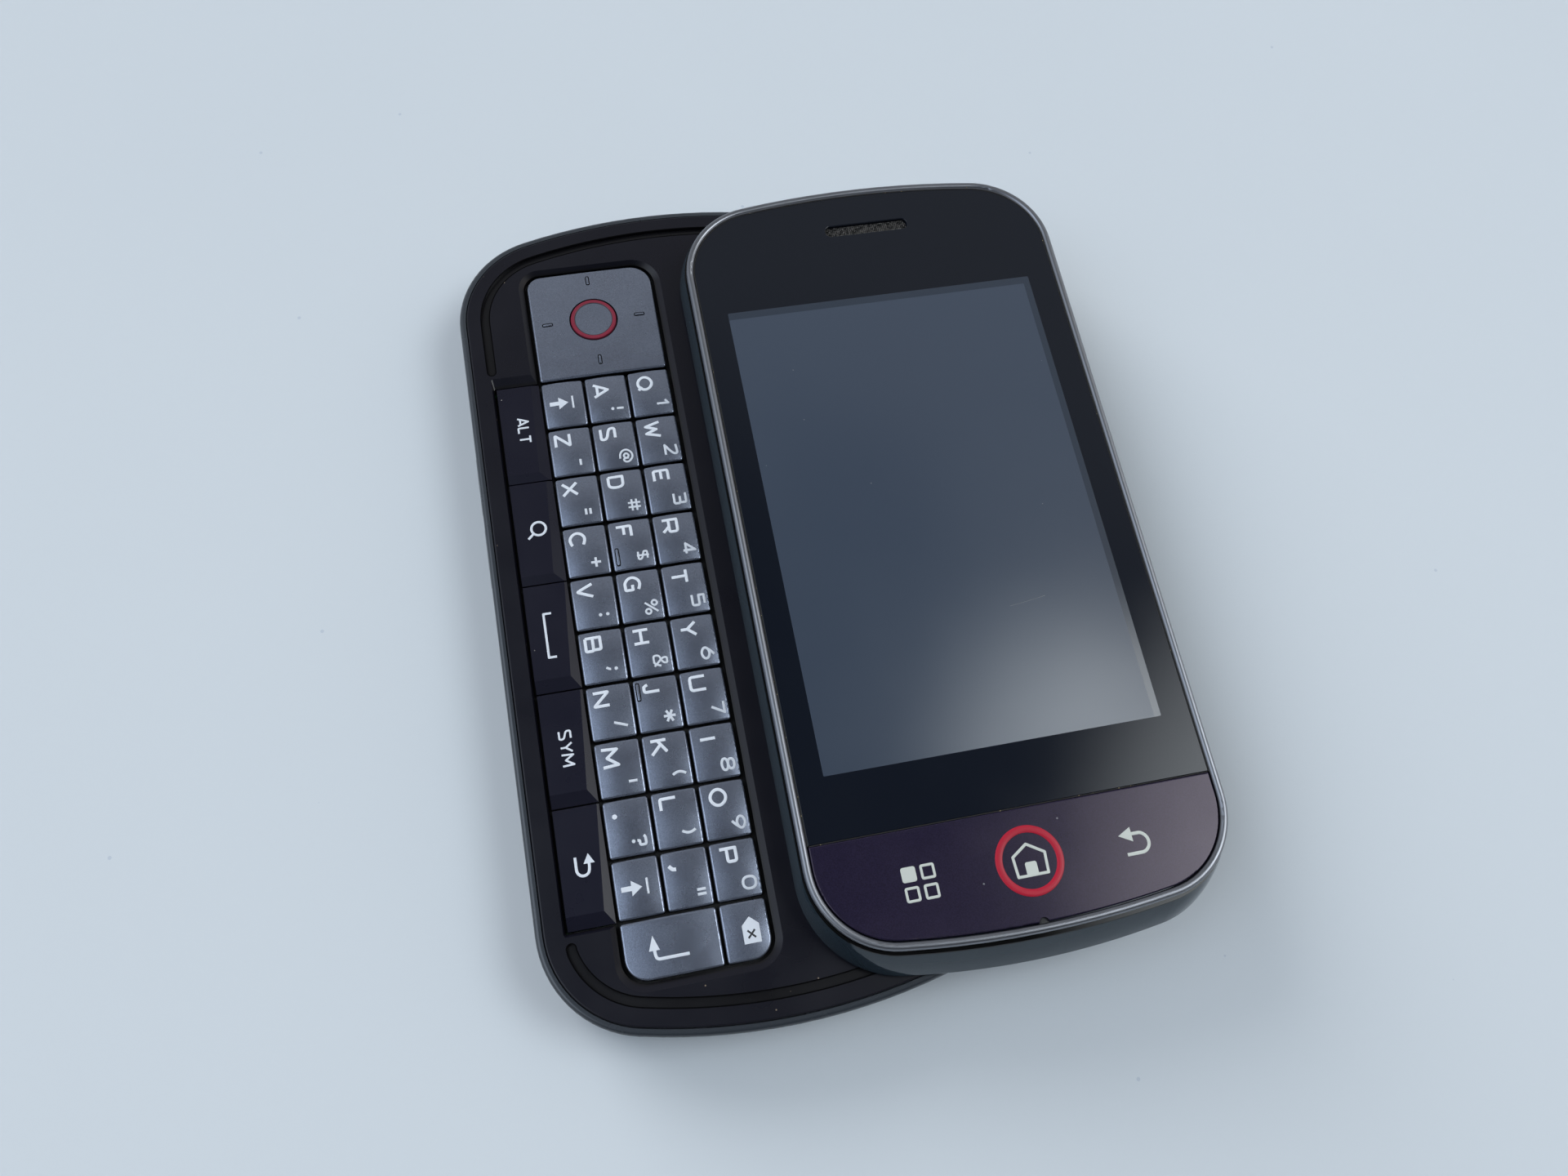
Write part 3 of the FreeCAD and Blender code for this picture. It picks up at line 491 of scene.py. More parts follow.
def addGlyph(curve, shape, x, y, width, height, weight, depth):
    for text in shape.split(" / "):
        closed, points = readStroke(text)
        placed = [(x + px * width, y + py * height, sharp) for px, py, sharp in points]
        if len(placed) == 1:
            addDot(curve, placed[0][0], placed[0][1], weight * dotGrowth, depth)
            continue
        run = []
        for px, py, sharp in placed:
            run.append((px, py, 0))
            if sharp:
                addDot(curve, px, py, weight, depth)
                if len(run) > 1:
                    addSpline(curve, run, False, weight)
                run = [(px, py, 0)]
        if len(run) > 1:
            addSpline(curve, run, closed, weight)


# flat lettering: its thickness, and how far it lies above the surface, in mm
inkLift = {"thickness": 0.02, "plain": 0.008, "over": 0.02}


def strokesToMesh(name, strokeWidth, draw, thickness=inkLift["thickness"]):
    # draws with a round pen, makes it a mesh and presses it flat
    curve = bpy.data.curves.new(name, "CURVE")
    curve.dimensions = "3D"
    curve.bevel_depth = strokeWidth / 2 * mm
    curve.bevel_resolution = 2
    curve.use_fill_caps = True
    draw(curve, strokeWidth / 2)
    obj = bpy.data.objects.new(name, curve)
    scene.collection.objects.link(obj)
    pick(obj)
    bpy.ops.object.convert(target="MESH")
    obj = bpy.context.object
    obj.scale = (1, 1, thickness / (strokeWidth / 2))
    return bakePlace(obj)


def filledShape(name, outlines):
    # a flat filled outline with a little thickness
    curve = bpy.data.curves.new(name, "CURVE")
    curve.dimensions = "2D"
    curve.fill_mode = "BOTH"
    curve.extrude = inkLift["thickness"] * mm
    for outline in outlines:
        spline = curve.splines.new("POLY")
        spline.points.add(len(outline) - 1)
        for target, (x, y) in zip(spline.points, outline):
            target.co = (x * mm, y * mm, 0, 1)
        spline.use_cyclic_u = True
    obj = bpy.data.objects.new(name, curve)
    scene.collection.objects.link(obj)
    pick(obj)
    bpy.ops.object.convert(target="MESH")
    obj = bpy.context.object
    selectWhere(obj, "FACE", lambda face: True)
    bpy.ops.mesh.quads_convert_to_tris()
    bpy.ops.mesh.subdivide(number_cuts=2)
    leaveEdit()
    return obj


def joinPieces(pieces):
    clearSelection()
    for piece in pieces:
        piece.select_set(True)
    bpy.context.view_layer.objects.active = pieces[0]
    if len(pieces) > 1:
        bpy.ops.object.join()
    return bpy.context.object


def layOn(obj, nodeName, lift=inkLift["plain"]):
    # drops flat lettering on to a part's crowned top
    target = cad[nodeName]
    for vert in obj.data.vertices:
        found, point = target.ray_cast((vert.co.x, vert.co.y, layFrom), (0, 0, -1))[:2]
        if found:
            vert.co.z += point.z + lift * mm


def turnAndPlace(obj, x, y, turn=readingTurn):
    obj.data.transform(Matrix.Translation((x * mm, y * mm, 0)) @ Matrix.Rotation(math.radians(turn), 4, "Z"))


def centreOf(nodeName):
    low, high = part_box(nodeName)
    return (low.x + high.x) / 2 / mm, (low.y + high.y) / 2 / mm


# sizes and places of the lettering, in mm from a key's middle and in the reading direction
legendLook = {
    "mainSize": (1.80, 1.92), "otherSize": (1.42, 1.58), "pen": 0.39, "otherPen": 0.32, "finePen": 0.26,
    "mainLeft": -2.64, "mainUp": -0.80, "markRight": -1.52, "markDown": 0.1, "markWeight": 1.15,
    "otherAt": (1.82, 1.20)}
# the main and the second character of each key
legendPairs = {
    "q": "Q1", "w": "W2", "e": "E3", "r": "R4", "t": "T5", "y": "Y6", "u": "U7", "i": "I8", "o": "O9",
    "p": "P0", "a": "A!", "s": "S@", "d": "D#", "f": "F$", "g": "G%", "h": "H&", "j": "J*", "k": "K(",
    "l": "L)", "comma": ",\"", "z": "Z-", "x": "X=", "c": "C+", "v": "V:", "b": "B;", "n": "N/",
    "m": "M'", "period": ".?",
}
glyphWidths = {
    "W": 1.24, "M": 1.28, "O": 1.12, "Q": 1.12, "E": 0.84, "F": 0.84, "L": 0.84, "J": 0.8, "S": 0.92,
    "D": 0.90, "C": 1.04, "P": 0.90, "1": 0.72, "A": 1.10, "G": 1.04,
}
smallMarks = {
    "-": (1.0, 1.0), "=": (0.95, 1.6), "+": (1.3, 1.3), "'": (1.0, 1.9), "\"": (1.5, 1.9),
    ":": (1.0, 1.5), ";": (1.0, 1.5), "(": (1.0, 1.65), ")": (1.0, 1.65), "*": (1.6, 1.5),
    "!": (1.0, 1.5), "#": (1.6, 1.65), "@": (1.75, 1.7), "%": (1.75, 1.6), "&": (1.4, 1.7),
    "/": (0.8, 1.65), "?": (1.1, 1.5), "$": (1.2, 1.6), ",": (1.6, 1.9), ".": (1.0, 1.6),
}
fineMarks = "@#$%&"
mainShift = {"Q": 0.2, "A": 0.42}
mainRise = {"J": 0.27}


def drawPair(curve, depth, pair):
    main, other = pair
    mainWidth, mainHeight = legendLook["mainSize"]
    otherWidth, otherHeight = legendLook["otherSize"]
    mainY = legendLook["mainUp"]
    otherX, otherY = legendLook["otherAt"]
    if main in smallMarks:
        markX, markY = legendLook["markRight"], mainY - legendLook["markDown"]
        addGlyph(curve, strokeShapes[main], markX, markY, *smallMarks[main], legendLook["markWeight"], depth)
    else:
        width = mainWidth * glyphWidths.get(main, 1.0)
        mainX = legendLook["mainLeft"] + width / 2 + mainShift.get(main, 0.0)
        mainY += mainRise.get(main, 0.0)
        addGlyph(curve, strokeShapes[main], mainX, mainY, width, mainHeight, 1.0, depth)
    thin = legendLook["finePen" if other in fineMarks else "otherPen"] / legendLook["pen"]
    if other in smallMarks:
        addGlyph(curve, strokeShapes[other], otherX, otherY, *smallMarks[other], thin, depth)
    else:
        width = otherWidth * glyphWidths.get(other, 1.0)
        addGlyph(curve, strokeShapes[other], otherX, otherY, width, otherHeight, thin, depth)


def letterKeys():
    # how far each row's lettering sits from the middle of its keys
    rowDrift = {"qwertyuiop": 0.18, "asdfghjkl": 0.0, "zxcvbnm": -0.2}
    markDrift = {"comma": -0.1, "period": -0.1}
    for key, pair in legendPairs.items():
        nodeName = "key_" + key
        x, y = centreOf(nodeName)
        drift = next((value for letters, value in rowDrift.items() if key in letters), 0.0)
        drift = markDrift.get(key, drift)
        name = "legend_" + key
        obj = strokesToMesh(name, legendLook["pen"], lambda curve, depth: drawPair(curve, depth, pair))
        turnAndPlace(obj, x + drift, y)
        layOn(obj, nodeName)
        finishPiece(obj, name, nodeName, legendInk)


def capsLegend(nodeName, text, look):
    pitch = look["pitch"]
    fullWidth, height = look["size"]

    def draw(curve, depth):
        start = -(len(text) - 1) / 2 * pitch
        for index, letter in enumerate(text):
            width = fullWidth * glyphWidths.get(letter, 1.0)
            addGlyph(curve, strokeShapes[letter], start + index * pitch, 0, width, height, 1.0, depth)

    name = nodeName.replace("key_", "legend_")
    obj = strokesToMesh(name, look["pen"], draw)
    turnAndPlace(obj, look["x"], look["y"])
    layOn(obj, nodeName)
    finishPiece(obj, name, nodeName, legendInk)


def strokeIcon(name, nodeName, body, pen, lines, fills, x, y, turn, ink, lift=inkLift["plain"]):
    # lines are (closed, points) in mm, fills are outlines in mm; a third value makes a sharp corner
    def draw(curve, depth):
        for closed, points in lines:
            run = []
            for point in points:
                run.append((point[0], point[1], 0))
                if len(point) > 2:
                    addDot(curve, point[0], point[1], 1.0, depth)
                    if len(run) > 1:
                        addSpline(curve, run, False, 1.0)
                    run = [run[-1]]
            if len(run) > 1:
                addSpline(curve, run, closed, 1.0)
    made = []
    if lines:
        made.append(strokesToMesh(name, pen, draw))
    if fills:
        made.append(filledShape(name + "_fill", fills))
    obj = joinPieces(made)
    turnAndPlace(obj, x, y, turn)
    layOn(obj, nodeName, lift)
    finishPiece(obj, name, body, ink)


def keyIcon(nodeName, pen, lines, fills, x=0, y=0):
    # an icon on a key, turned like the letters
    name = nodeName.replace("key_", "legend_")
    strokeIcon(name, nodeName, nodeName, iconPen[pen], lines, fills, x, y, readingTurn, legendInk)


letterKeys()
altWord = {"x": -22.24, "y": 24.8, "pitch": 1.34, "size": (1.0, 1.42), "pen": 0.26}
symbolWord = {"x": -22.40, "y": -19.95, "pitch": 1.62, "size": (1.12, 1.42), "pen": 0.25}
capsLegend("key_alt", "ALT", altWord)
capsLegend("key_symbol", "SYM", symbolWord)

# icons are drawn in the reading direction: x to the right of the text, y up
iconPen = {"plain": 0.30, "enter": 0.37, "cross": 0.24, "search": 0.32, "back": 0.34}
shiftArrow = {"foot": -2.0, "neck": -0.75, "tip": 0.55, "halfShaft": 0.30, "halfHead": 0.92,
              "barLow": 1.05, "barHigh": 1.31, "barHalf": 0.95, "aside": 0.05}
foot, neck, tip = shiftArrow["foot"], shiftArrow["neck"], shiftArrow["tip"]
halfShaft, halfHead, barHalf = shiftArrow["halfShaft"], shiftArrow["halfHead"], shiftArrow["barHalf"]
barLow, barHigh = shiftArrow["barLow"], shiftArrow["barHigh"]
for side in ("left", "right"):
    nodeName = "key_shift_" + side
    keyX, keyY = centreOf(nodeName)
    arrow = [(-halfShaft, foot), (halfShaft, foot), (halfShaft, neck), (halfHead, neck), (0, tip),
             (-halfHead, neck), (-halfShaft, neck)]
    bar = [(-barHalf, barLow), (barHalf, barLow), (barHalf, barHigh), (-barHalf, barHigh)]
    keyIcon(nodeName, "plain", [], [arrow, bar], keyX, keyY + shiftArrow["aside"])

# the enter arrow: a head that points back up the rows, a shaft and a foot
enterLine = [(45.9, -15.44), (46.3, -15.44), (47.1, -15.30), (47.1, -14.4), (47.1, -11.4)]
enterHead = [(44.3, -15.46), (46.05, -16.1), (46.05, -14.8)]
keyIcon("key_enter", "enter", [(False, enterLine)], [enterHead])
deleteTag = [(44.25, -3.75), (45.2, -2.68), (47.38, -2.68), (47.38, -4.78), (45.2, -4.78)]
deleteCross = [(False, [(45.85, -4.2), (46.75, -3.3)]), (False, [(45.85, -3.3), (46.75, -4.2)])]
keyIcon("key_delete", "plain", [], [deleteTag])
strokeIcon("legend_delete_cross", "key_delete", "key_delete", iconPen["cross"], deleteCross, [],
           0, 0, readingTurn, outlineInk, inkLift["over"])


def circlePoints(x, y, radius, count=12):
    step = 2 * math.pi / count
    grow = radius / math.cos(step / 2)
    return [(x + grow * math.cos(i * step), y + grow * math.sin(i * step)) for i in range(count)]


searchGlass = [(True, circlePoints(-10.05, -22.1, 0.95)), (False, [(-9.38, -22.85), (-8.7, -23.58)])]
keyIcon("key_search", "search", searchGlass, [])
spaceLine = [(2.0, -22.0), (2.0, -23.0, 1), (8.0, -23.0, 1), (8.0, -22.0)]
keyIcon("key_space", "plain", [(False, spaceLine)], [])
backHook = [(33.55, -23.2), (34.6, -23.2), (35.43, -23.2), (35.9, -22.73), (35.9, -22.07),
            (35.43, -21.6), (34.5, -21.6)]
backHead = [(33.3, -21.6), (34.5, -22.28), (34.5, -20.92)]
keyIcon("key_back", "back", [(False, backHook)], [backHead])
print("lettering laid on the keys")


# small raised marks

markLook = {"homeBar": (2.25, 0.34), "homeAt": {"f": (-2.12, -1.60), "j": (-2.27, 1.86)},
            "padTick": (1.25, 0.30), "padReach": 6.52, "height": 0.09, "sink": 0.02,
            "endRound": 0.95, "topRound": 0.45, "linePen": 0.16, "lineAway": 0.05}


def raisedMark(name, nodeName, x, y, length, width, turn):
    # a raised rounded bar with a fine line of painted shade round it
    clearSelection()
    half = width / 2
    height = markLook["height"]
    corner, edge = half * markLook["endRound"], height * markLook["topRound"]
    bar = roundedBlock((-length / 2, -half, 0), (length / 2, half, height), corner, edge)
    turnAndPlace(bar, x, y, turn)
    layOn(bar, nodeName, -markLook["sink"])
    finishPiece(bar, name, nodeName, keySilver)
    spread = half + markLook["lineAway"]
    reach = length / 2 + markLook["lineAway"]
    line = [(reach, spread), (0, spread), (-reach, spread), (-reach, 0), (-reach, -spread), (0, -spread),
            (reach, -spread), (reach, 0)]
    strokeIcon(name + "_line", nodeName, nodeName, markLook["linePen"], [(True, line)], [],
               x, y, turn, shadeInk, inkLift["over"])


for letter, (down, aside) in markLook["homeAt"].items():
    keyX, keyY = centreOf("key_" + letter)
    raisedMark("mark_" + letter, "key_" + letter, keyX + down, keyY + aside, *markLook["homeBar"], 90)
padX, padY = centreOf("select_button")
for index in range(4):
    turn = 90 * index
    x = padX + markLook["padReach"] * math.cos(math.radians(turn))
    y = padY + markLook["padReach"] * math.sin(math.radians(turn))
    raisedMark("mark_pad_" + str(index), "direction_pad", x, y, *markLook["padTick"], turn)

# the red band round the select button
keyRing = {"outer": 3.24, "inner": 2.68, "height": 0.07, "sink": 0.12, "edge": 0.10, "shoulder": 0.4,
           "lineWidth": 0.10, "lineLow": -0.05, "lineHigh": 0.02}
outer, inner, height = keyRing["outer"], keyRing["inner"], keyRing["height"]
sink, edge, shoulder = keyRing["sink"], keyRing["edge"], height * keyRing["shoulder"]
bandProfile = [(inner, -sink), (outer, -sink), (outer, shoulder), (outer - edge, height),
               (inner + edge, height), (inner, shoulder), (inner, -sink)]
band = turned(padX, padY, bandProfile, segments=96)
layOn(band, "select_button", 0.0)
finishPiece(band, "select_ring", "select_button", keyRingRed)
# a thin dark band inside the red band: painted shade in the gap round the select button
lineInner, lineLow, lineHigh = inner - keyRing["lineWidth"], keyRing["lineLow"], keyRing["lineHigh"]
lineProfile = [(lineInner, lineLow), (inner, lineLow), (inner, lineHigh), (lineInner, lineHigh),
               (lineInner, lineLow)]
line = turned(padX, padY, lineProfile, segments=96)
layOn(line, "select_button", 0.0)
finishPiece(line, "select_ring_line", "select_button", outlineInk)
print("raised marks and key ring")


# screen half

slabX = 29.6
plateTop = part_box("front_key_plate")[1].z / mm
# the rounding goes inwards in mm and up in shares of the height
homeRing = {"x": 30.0, "y": -44.6, "outer": 4.2, "inner": 3.32, "height": 0.10, "sink": 0.1,
            "rounding": [(0.0, 0.3), (0.14, 0.85), (0.3, 1.0)]}
outer, inner, height = homeRing["outer"], homeRing["inner"], homeRing["height"]
ringFoot = plateTop - homeRing["sink"]
outerSide = [(outer - inward, plateTop + height * share) for inward, share in homeRing["rounding"]]
innerSide = [(inner + inward, plateTop + height * share) for inward, share in homeRing["rounding"][::-1]]
ringProfile = [(inner, ringFoot), (outer, ringFoot)] + outerSide + innerSide + [(inner, ringFoot)]
ring = turned(homeRing["x"], homeRing["y"], ringProfile, segments=128)
finishPiece(ring, "home_ring", "front_keys", ringRed, angle=60)

frontPen = {"home": 0.34, "menu": 0.31, "return": 0.40}


def frontIcon(name, lines, fills):
    # an icon on the front key plate, drawn in place
    strokeIcon("icon_" + name, "front_key_plate", "front_keys", frontPen[name], lines, fills,
               0, 0, 0, iconInk)


house = [(28.18, -46.3, 1), (28.05, -43.9, 1), (30.0, -42.62, 1), (32.05, -43.9, 1), (31.92, -46.3, 1),
         (28.18, -46.3)]
door = [(29.3, -46.3), (30.75, -46.3), (30.75, -44.9), (30.6, -44.72), (29.45, -44.72), (29.3, -44.9)]
frontIcon("home", [(False, house)], [door])


def squareLoop(x, y, half):
    # a square with soft corners, from the right side round to the left
    soft = half * menuAt["softness"]
    corner = [(half, soft), (half, half), (soft, half)]
    loop = corner + [(-px, py) for px, py in corner[::-1]]
    loop += [(-px, -py) for px, py in corner] + [(px, -py) for px, py in corner[::-1]]
    return [(x + px, y + py) for px, py in loop]


menuAt = {"x": 16.44, "y": -44.7, "pitch": 2.33, "half": 0.74, "softness": 0.55}
menuLoops = []
for columnSign, rowSign in ((-1, 1), (1, 1), (-1, -1), (1, -1)):
    centreX = menuAt["x"] + columnSign * menuAt["pitch"] / 2
    centreY = menuAt["y"] + rowSign * menuAt["pitch"] / 2
    menuLoops.append((True, squareLoop(centreX, centreY, menuAt["half"])))
firstX, firstY = menuAt["x"] - menuAt["pitch"] / 2, menuAt["y"] + menuAt["pitch"] / 2
fillHalf = menuAt["half"]
firstFill = [(firstX - fillHalf, firstY - fillHalf), (firstX + fillHalf, firstY - fillHalf),
             (firstX + fillHalf, firstY + fillHalf), (firstX - fillHalf, firstY + fillHalf)]
frontIcon("menu", menuLoops, [firstFill])
returnHook = [(43.0, -43.80), (43.6, -43.80), (44.33, -43.80), (45.02, -44.485), (45.02, -45.455),
              (44.33, -46.14), (43.4, -46.14), (42.0, -46.14)]
returnHead = [(41.45, -43.8), (43.12, -42.95), (43.12, -44.72)]
frontIcon("return", [(False, returnHook)], [returnHead])
print("front key plate dressed")

# the lens is black in depth; two films on it show the display's dark frame and its lit area
displayLook = {"frameLow": (7.70, -30.34), "frameHigh": (51.22, 34.96), "frameTop": 15.304,
               "litLow": (7.70, -30.34), "litHigh": (50.31, 33.87), "litTop": 15.308, "under": 15.25,
              "corner": 0.15, "edge": 0.002}
for name, key, material in (("display_frame", "frame", lcdFrame), ("display_area", "lit", lcdFace)):
    film = roundedBlock((*displayLook[key + "Low"], displayLook["under"]),
                        (*displayLook[key + "High"], displayLook[key + "Top"]),
                        displayLook["corner"], displayLook["edge"], segments=3)
    finishPiece(film, name, "slab", material)

# behind the earpiece slot: a dark pad and a woven mesh
slot = {"x": slabX + 0.3, "y": 46.25, "length": 11.7, "width": 1.5, "padLow": 14.1, "padTop": 14.69,
        "padSpread": 0.28, "padCorner": 0.9, "padEdge": 0.03, "meshTop": 14.80, "wire": 0.13,
        "cells": (42, 6), "threads": (3.4, 3.6), "wave": 0.05}
padLength, padWidth = slot["length"] / 2 + slot["padSpread"], slot["width"] / 2 + slot["padSpread"]
backing = roundedBlock((slot["x"] - padLength, slot["y"] - padWidth, slot["padLow"]),
                       (slot["x"] + padLength, slot["y"] + padWidth, slot["padTop"]),
                       padWidth * slot["padCorner"], slot["padEdge"])
finishPiece(backing, "earpiece_pad", "slab", softBlack)
clearSelection()
cellsAlong, cellsAcross = slot["cells"]
bpy.ops.mesh.primitive_grid_add(x_subdivisions=cellsAlong, y_subdivisions=cellsAcross, size=1,
                                location=(slot["x"] * mm, slot["y"] * mm, slot["meshTop"] * mm))
weave = bpy.context.object
weave.scale = (slot["length"] * mm, slot["width"] * mm, 1)
bakePlace(weave)
alongThreads, acrossThreads = slot["threads"]
selectWhere(weave, "VERT", lambda co: (
    round(co.x / mm * alongThreads) + round(co.y / mm * acrossThreads)) % 2 == 0)
bpy.ops.transform.translate(value=(0, 0, slot["wave"] * mm))
leaveEdit()
applyModifier(weave, "WIREFRAME", thickness=slot["wire"] * mm, use_even_offset=False)
finishPiece(weave, "earpiece_mesh", "slab", earWeave)

# felt disc at the bottom of the microphone notch
notch = {"x": slabX + 0.33, "y": -51.85, "radius": 0.60, "low": 14.90, "high": 14.98,
         "rimDown": 0.02, "rimIn": 0.05, "middle": 0.12}
feltRadius, feltTop = notch["radius"], notch["high"]
feltProfile = [(feltRadius, notch["low"]), (feltRadius, feltTop - notch["rimDown"]),
               (feltRadius - notch["rimIn"], feltTop), (notch["middle"], feltTop - notch["rimDown"])]
felt = turned(notch["x"], notch["y"], feltProfile, segments=32)
finishPiece(felt, "microphone_felt", "slab", speakerWeave)
print("display and earpiece")


def bowedOutline(plan, x, grow, cornerSteps=10, endSteps=14):
    # straight sides, round corners and gently bowed ends, in mm
    halfX, halfY, endRadius, cornerRadius = [value + grow for value in plan]
    cornerX = halfX - cornerRadius
    endY = halfY - endRadius
    cornerY = endY + math.sqrt((endRadius - cornerRadius) ** 2 - cornerX ** 2)
    turn = math.atan2(cornerY - endY, cornerX)
    quarter = []
    for step in range(cornerSteps + 1):
        angle = turn * step / cornerSteps
        quarter.append((cornerX + cornerRadius * math.cos(angle), cornerY + cornerRadius * math.sin(angle)))
    for step in range(1, endSteps + 1):
        angle = turn + (math.pi / 2 - turn) * step / endSteps
        quarter.append((endRadius * math.cos(angle), endY + endRadius * math.sin(angle)))
    upper = quarter + [(-px, py) for px, py in reversed(quarter[:-1])]
    return [(x + px, py) for px, py in upper + [(px, -py) for px, py in reversed(upper)]]


def flatLine(name, points, z, pen, thickness, body, ink):
    # one drawn line, pressed flat at a height, in mm
    run = [(x, y, 0) for x, y in points]
    line = strokesToMesh(name, pen, lambda curve, depth: addSpline(curve, run, False, 1.0), thickness)
    line.data.transform(Matrix.Translation((0, 0, z * mm)))
    finishPiece(line, name, body, ink)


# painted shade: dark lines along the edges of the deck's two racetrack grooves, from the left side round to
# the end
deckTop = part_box("keyboard_deck")[1].z / mm
grooveLook = {"plan": (29.1, 57.4, 80.0, 13.6), "pen": 0.15, "thickness": 0.012, "endX": 20.0, "capSteps": 8,
              "top": {"side": 1, "from": 34.3, "insets": (3.0, 4.2)},
              "low": {"side": -1, "from": 44.0, "insets": (3.2, 4.4)}}
for name in ("top", "low"):
    groove = grooveLook[name]
    runs = []
    for inset in groove["insets"]:
        outline = bowedOutline(grooveLook["plan"], 0, -inset, cornerSteps=16, endSteps=24)
        along = [(x, y) for x, y in outline if y > 0]
        run = [(x, y) for x, y in along if y > groove["from"] and x < grooveLook["endX"]]
        runs.append([(run[-1][0], groove["from"])] + run[::-1])
    outer, inner = runs
    capX, radius = (outer[0][0] + inner[0][0]) / 2, (inner[0][0] - outer[0][0]) / 2
    turns = [math.pi * step / grooveLook["capSteps"] for step in range(1, grooveLook["capSteps"])]
    cap = [(capX - radius * math.cos(turn), groove["from"] - radius * math.sin(turn)) for turn in turns]
    loop = [(x, groove["side"] * y) for x, y in outer[::-1] + cap + inner]
    flatLine("groove_line_" + name, loop, deckTop, grooveLook["pen"], grooveLook["thickness"],
             "base", shadeInk)

# old dirt in the seams round the glass and between the glass and the front keys
seam = {"plan": (26.55, 52.95, 130.0, 11.0), "inset": 1.07, "splitY": -38.2, "splitHalf": 25.3, "z": 15.29,
        "pen": 0.15, "splitPen": 0.13, "thickness": 0.03}
aroundGlass = [(x, y) for x, y in bowedOutline(seam["plan"], slabX, -seam["inset"]) if y > 0]
sideX = seam["plan"][0] - seam["inset"]
aroundGlass = [(slabX + sideX, seam["splitY"])] + aroundGlass + [(slabX - sideX, seam["splitY"])]
flatLine("seam_dirt", aroundGlass, seam["z"], seam["pen"], seam["thickness"], "slab", seamDirt)
underGlass = [(slabX - seam["splitHalf"], seam["splitY"]), (slabX + seam["splitHalf"], seam["splitY"])]
flatLine("split_dirt", underGlass, seam["z"], seam["splitPen"], seam["thickness"], "slab", seamDirt)

# one fine scratch across the lens
scratch = {"points": [(35.9, -13.0), (37.4, -12.85), (39.2, -12.6), (40.8, -12.37)], "pen": 0.07,
           "thickness": 0.004}
flatLine("lens_scratch", scratch["points"], displayLook["litTop"], scratch["pen"], scratch["thickness"],
         "slab", scratchTone)
print("grooves, seams and scratch")


# back and ends

# the camera's trim, cover and optic: each profile goes from one (radius, z) to the next, in mm
cameraAt = (0.0, 44.0)
trimProfile = [(3.3, 0.62), (3.3, 0.42), (3.2, 0.34), (2.6, 0.30), (2.6, 0.62), (3.3, 0.62)]
coverProfile = [(2.62, 0.60), (2.62, 0.42), (2.55, 0.37), (1.42, 0.37), (1.32, 0.42), (1.32, 0.60),
                (2.62, 0.60)]
opticProfile = [(1.6, 0.88), (1.6, 0.74), (1.3, 0.72), (1.2, 0.62), (1.0, 0.53), (0.7, 0.47),
                (0.35, 0.44), (0.1, 0.435)]
finishPiece(turned(*cameraAt, trimProfile), "camera_trim", "base", brushedSteel)
finishPiece(turned(*cameraAt, coverProfile), "camera_cover", "base", coverBlack)
optic = turned(*cameraAt, opticProfile, segments=64)
finishPiece(optic, "camera_lens", "base", opticBlue, angle=50)

contacts = {"x": (-3.0, -1.0, 1.0, 3.0), "half": 0.6, "low": 3.2, "high": 4.8, "sunk": 0.02, "proud": 0.05,
            "edge": 0.02}
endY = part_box("battery")[1].y / mm
half = contacts["half"]
for index, x in enumerate(contacts["x"]):
    pad = roundedBlock((x - half, endY - contacts["sunk"], contacts["low"]),
                       (x + half, endY + contacts["proud"], contacts["high"]), 0, contacts["edge"])
    finishPiece(pad, "battery_contact_" + str(index), body_of(cad["battery"])[0], contactGold)
print("camera and contacts")


# table, light and camera

tableSize, tableGap = 6, 0.00005  # in m
clearSelection()
bpy.ops.mesh.primitive_plane_add(size=tableSize, location=(0, 0, -tableGap))
table = bpy.context.object
table.name = "table_top"
tableLook = {
    "color": (0.530, 0.574, 0.612), "tint": (0.547, 0.591, 0.628), "roughness": 0.6, "specular": 0.2,
    "smudge": 0.05, "grainSize": 0.5, "bump": 0.10, "bumpDepth": 0.02, "patchSize": 60, "dust": 0.008,
    "dustSize": 0.28, "dustColor": (0.44, 0.49, 0.555), "seed": 9}
table.data.materials.append(finish("tablePaint", tableLook))

world = bpy.data.worlds.new("room")
scene.world = world
world.use_nodes = True
roomTree = world.node_tree
background = roomTree.nodes["Background"]
direction = newNode(roomTree, "ShaderNodeTexCoord").outputs["Generated"]
room = {
    "base": (0.390, 0.397, 0.410),
    "horizon": (0.60, 0.64, 0.69),
    "horizonEnds": (9, 22),  # elevations where the pale band starts to fade and where it is gone
    "patches": [  # direction, half angles of the full and the faded part, added light
        ((0.05, 0.09, 1.0), 12, 30, (-0.298, -0.300, -0.300)),
        ((0.02, -0.85, 0.55), 25, 55, (-0.315, -0.315, -0.315)),
        ((0.57, -0.03, 0.82), 9, 19, (4.8, 5.15, 5.35)),
        ((0.85, 0.05, 0.52), 14, 34, (0.5, 0.45, 0.40)),
        ((-0.62, 0.05, 0.78), 12, 34, (1.3, 1.5, 1.75)),
    ],
}


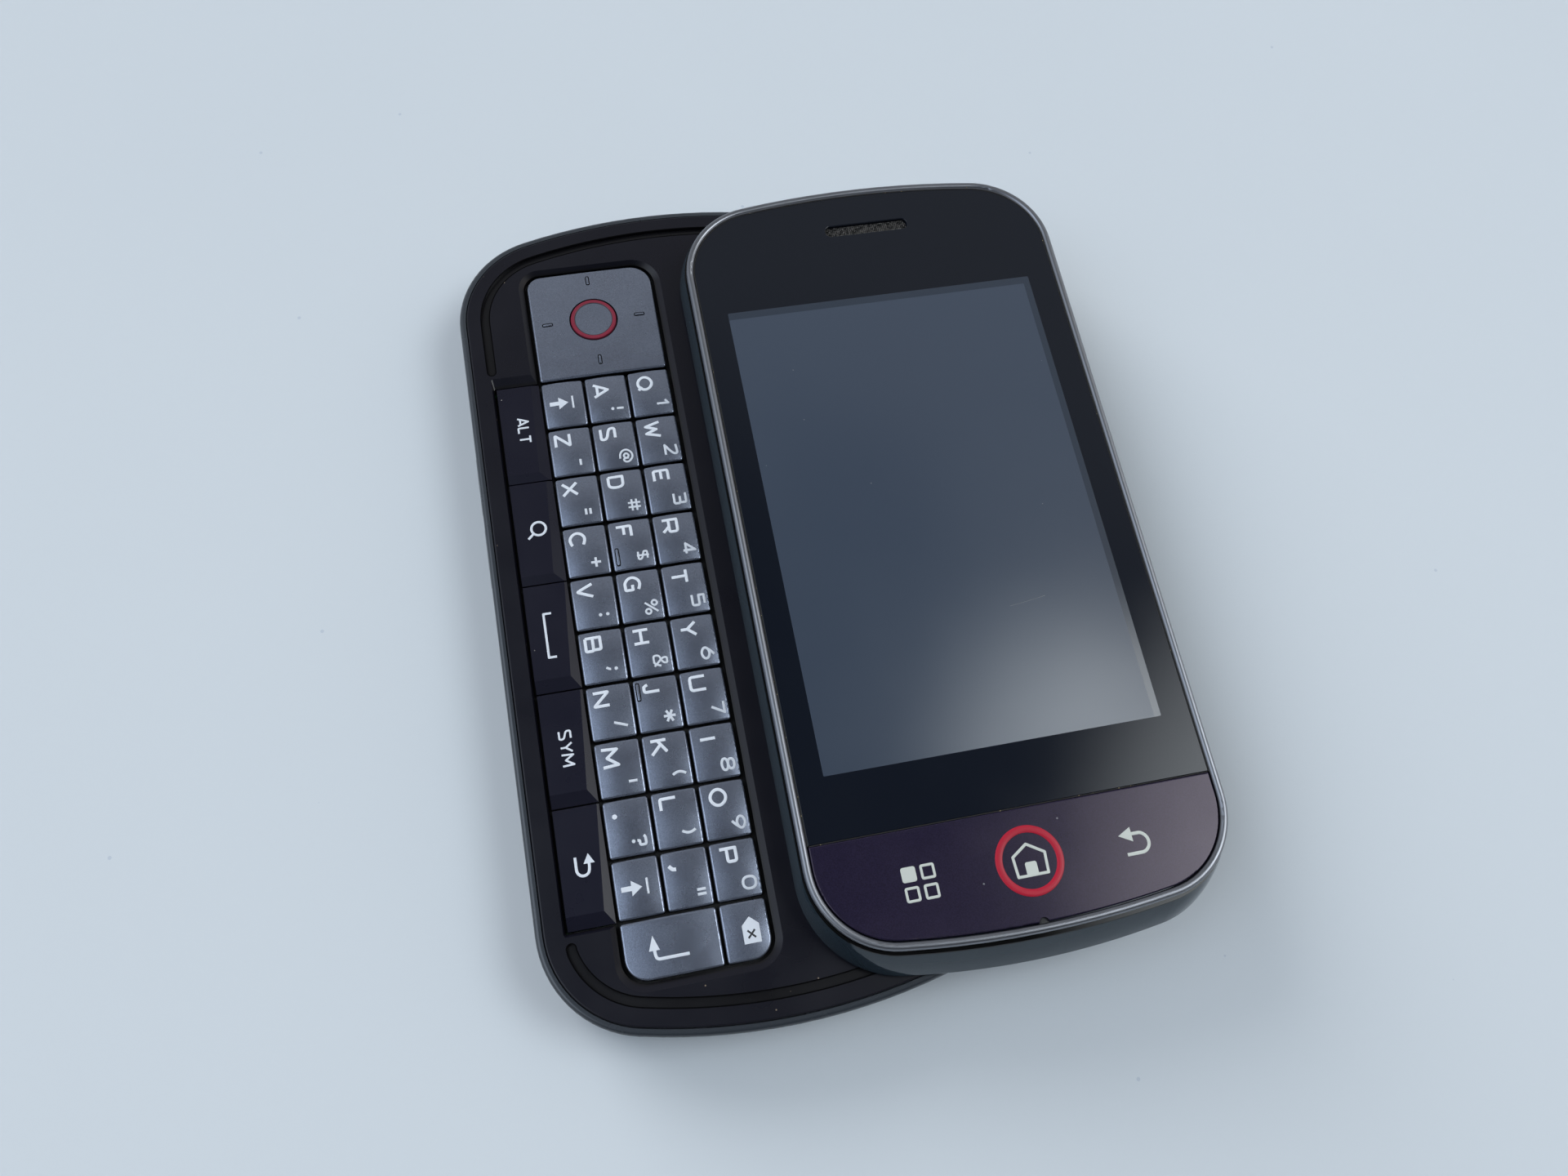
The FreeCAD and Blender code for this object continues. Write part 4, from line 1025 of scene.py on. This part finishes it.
def addPatch(tree, total, spec):
    toward, inside, outside, light = spec
    length = math.sqrt(sum(value * value for value in toward))
    along = newNode(tree, "ShaderNodeVectorMath", operation="DOT_PRODUCT")
    along.inputs[1].default_value = tuple(value / length for value in toward)
    tree.links.new(direction, along.inputs[0])
    fade = newNode(tree, "ShaderNodeMapRange", interpolation_type="SMOOTHSTEP")
    fade.inputs["From Min"].default_value = math.cos(math.radians(outside))
    fade.inputs["From Max"].default_value = math.cos(math.radians(inside))
    tree.links.new(along.outputs["Value"], fade.inputs["Value"])
    tone = newNode(tree, "ShaderNodeVectorMath", operation="SCALE")
    tone.inputs[0].default_value = light
    tree.links.new(fade.outputs["Result"], tone.inputs["Scale"])
    joined = newNode(tree, "ShaderNodeVectorMath", operation="ADD")
    if isinstance(total, tuple):
        joined.inputs[0].default_value = total
    else:
        tree.links.new(total, joined.inputs[0])
    tree.links.new(tone.outputs["Vector"], joined.inputs[1])
    return joined.outputs["Vector"]


heights = newNode(roomTree, "ShaderNodeSeparateXYZ")
roomTree.links.new(direction, heights.inputs[0])
band = newNode(roomTree, "ShaderNodeMapRange", interpolation_type="SMOOTHSTEP")
band.inputs["From Min"].default_value = math.sin(math.radians(room["horizonEnds"][1]))
band.inputs["From Max"].default_value = math.sin(math.radians(room["horizonEnds"][0]))
roomTree.links.new(heights.outputs["Z"], band.inputs["Value"])
roomLight = room["base"]
for patch in room["patches"]:
    roomLight = addPatch(roomTree, roomLight, patch)
roomLight = mixColor(roomTree, band.outputs["Result"], roomLight, room["horizon"])
roomTree.links.new(roomLight, background.inputs["Color"])

lamp = {"from": (-0.523, 0.767, 0.372), "strength": 2.5, "spread": 38, "color": (0.98, 0.99, 1.0)}
lampData = bpy.data.lights.new("window_lamp", "SUN")
lampData.energy = lamp["strength"]
lampData.angle = math.radians(lamp["spread"])
lampData.color = lamp["color"]
lampObject = bpy.data.objects.new("window_lamp", lampData)
scene.collection.objects.link(lampObject)
lampObject.location = lamp["from"]
lampObject.rotation_euler = (-Vector(lamp["from"])).to_track_quat("-Z", "Y").to_euler()
lampObject.visible_glossy = False

view = {"place": (-0.01330402, -0.05500977, 0.15896228), "turn": (19.95546, -4.41689, -11.08101),
        "lens": 27.690192, "sensor": 36, "nearest": 0.005}
cameraData = bpy.data.cameras.new("view_camera")
cameraData.sensor_width = view["sensor"]
cameraData.lens = view["lens"]
cameraData.clip_start = view["nearest"]
camera = bpy.data.objects.new("view_camera", cameraData)
scene.collection.objects.link(camera)
camera.location = view["place"]
camera.rotation_euler = [math.radians(value) for value in view["turn"]]
scene.camera = camera
scene.view_settings.view_transform = "Standard"
print("table, light and camera")

clearSelection()
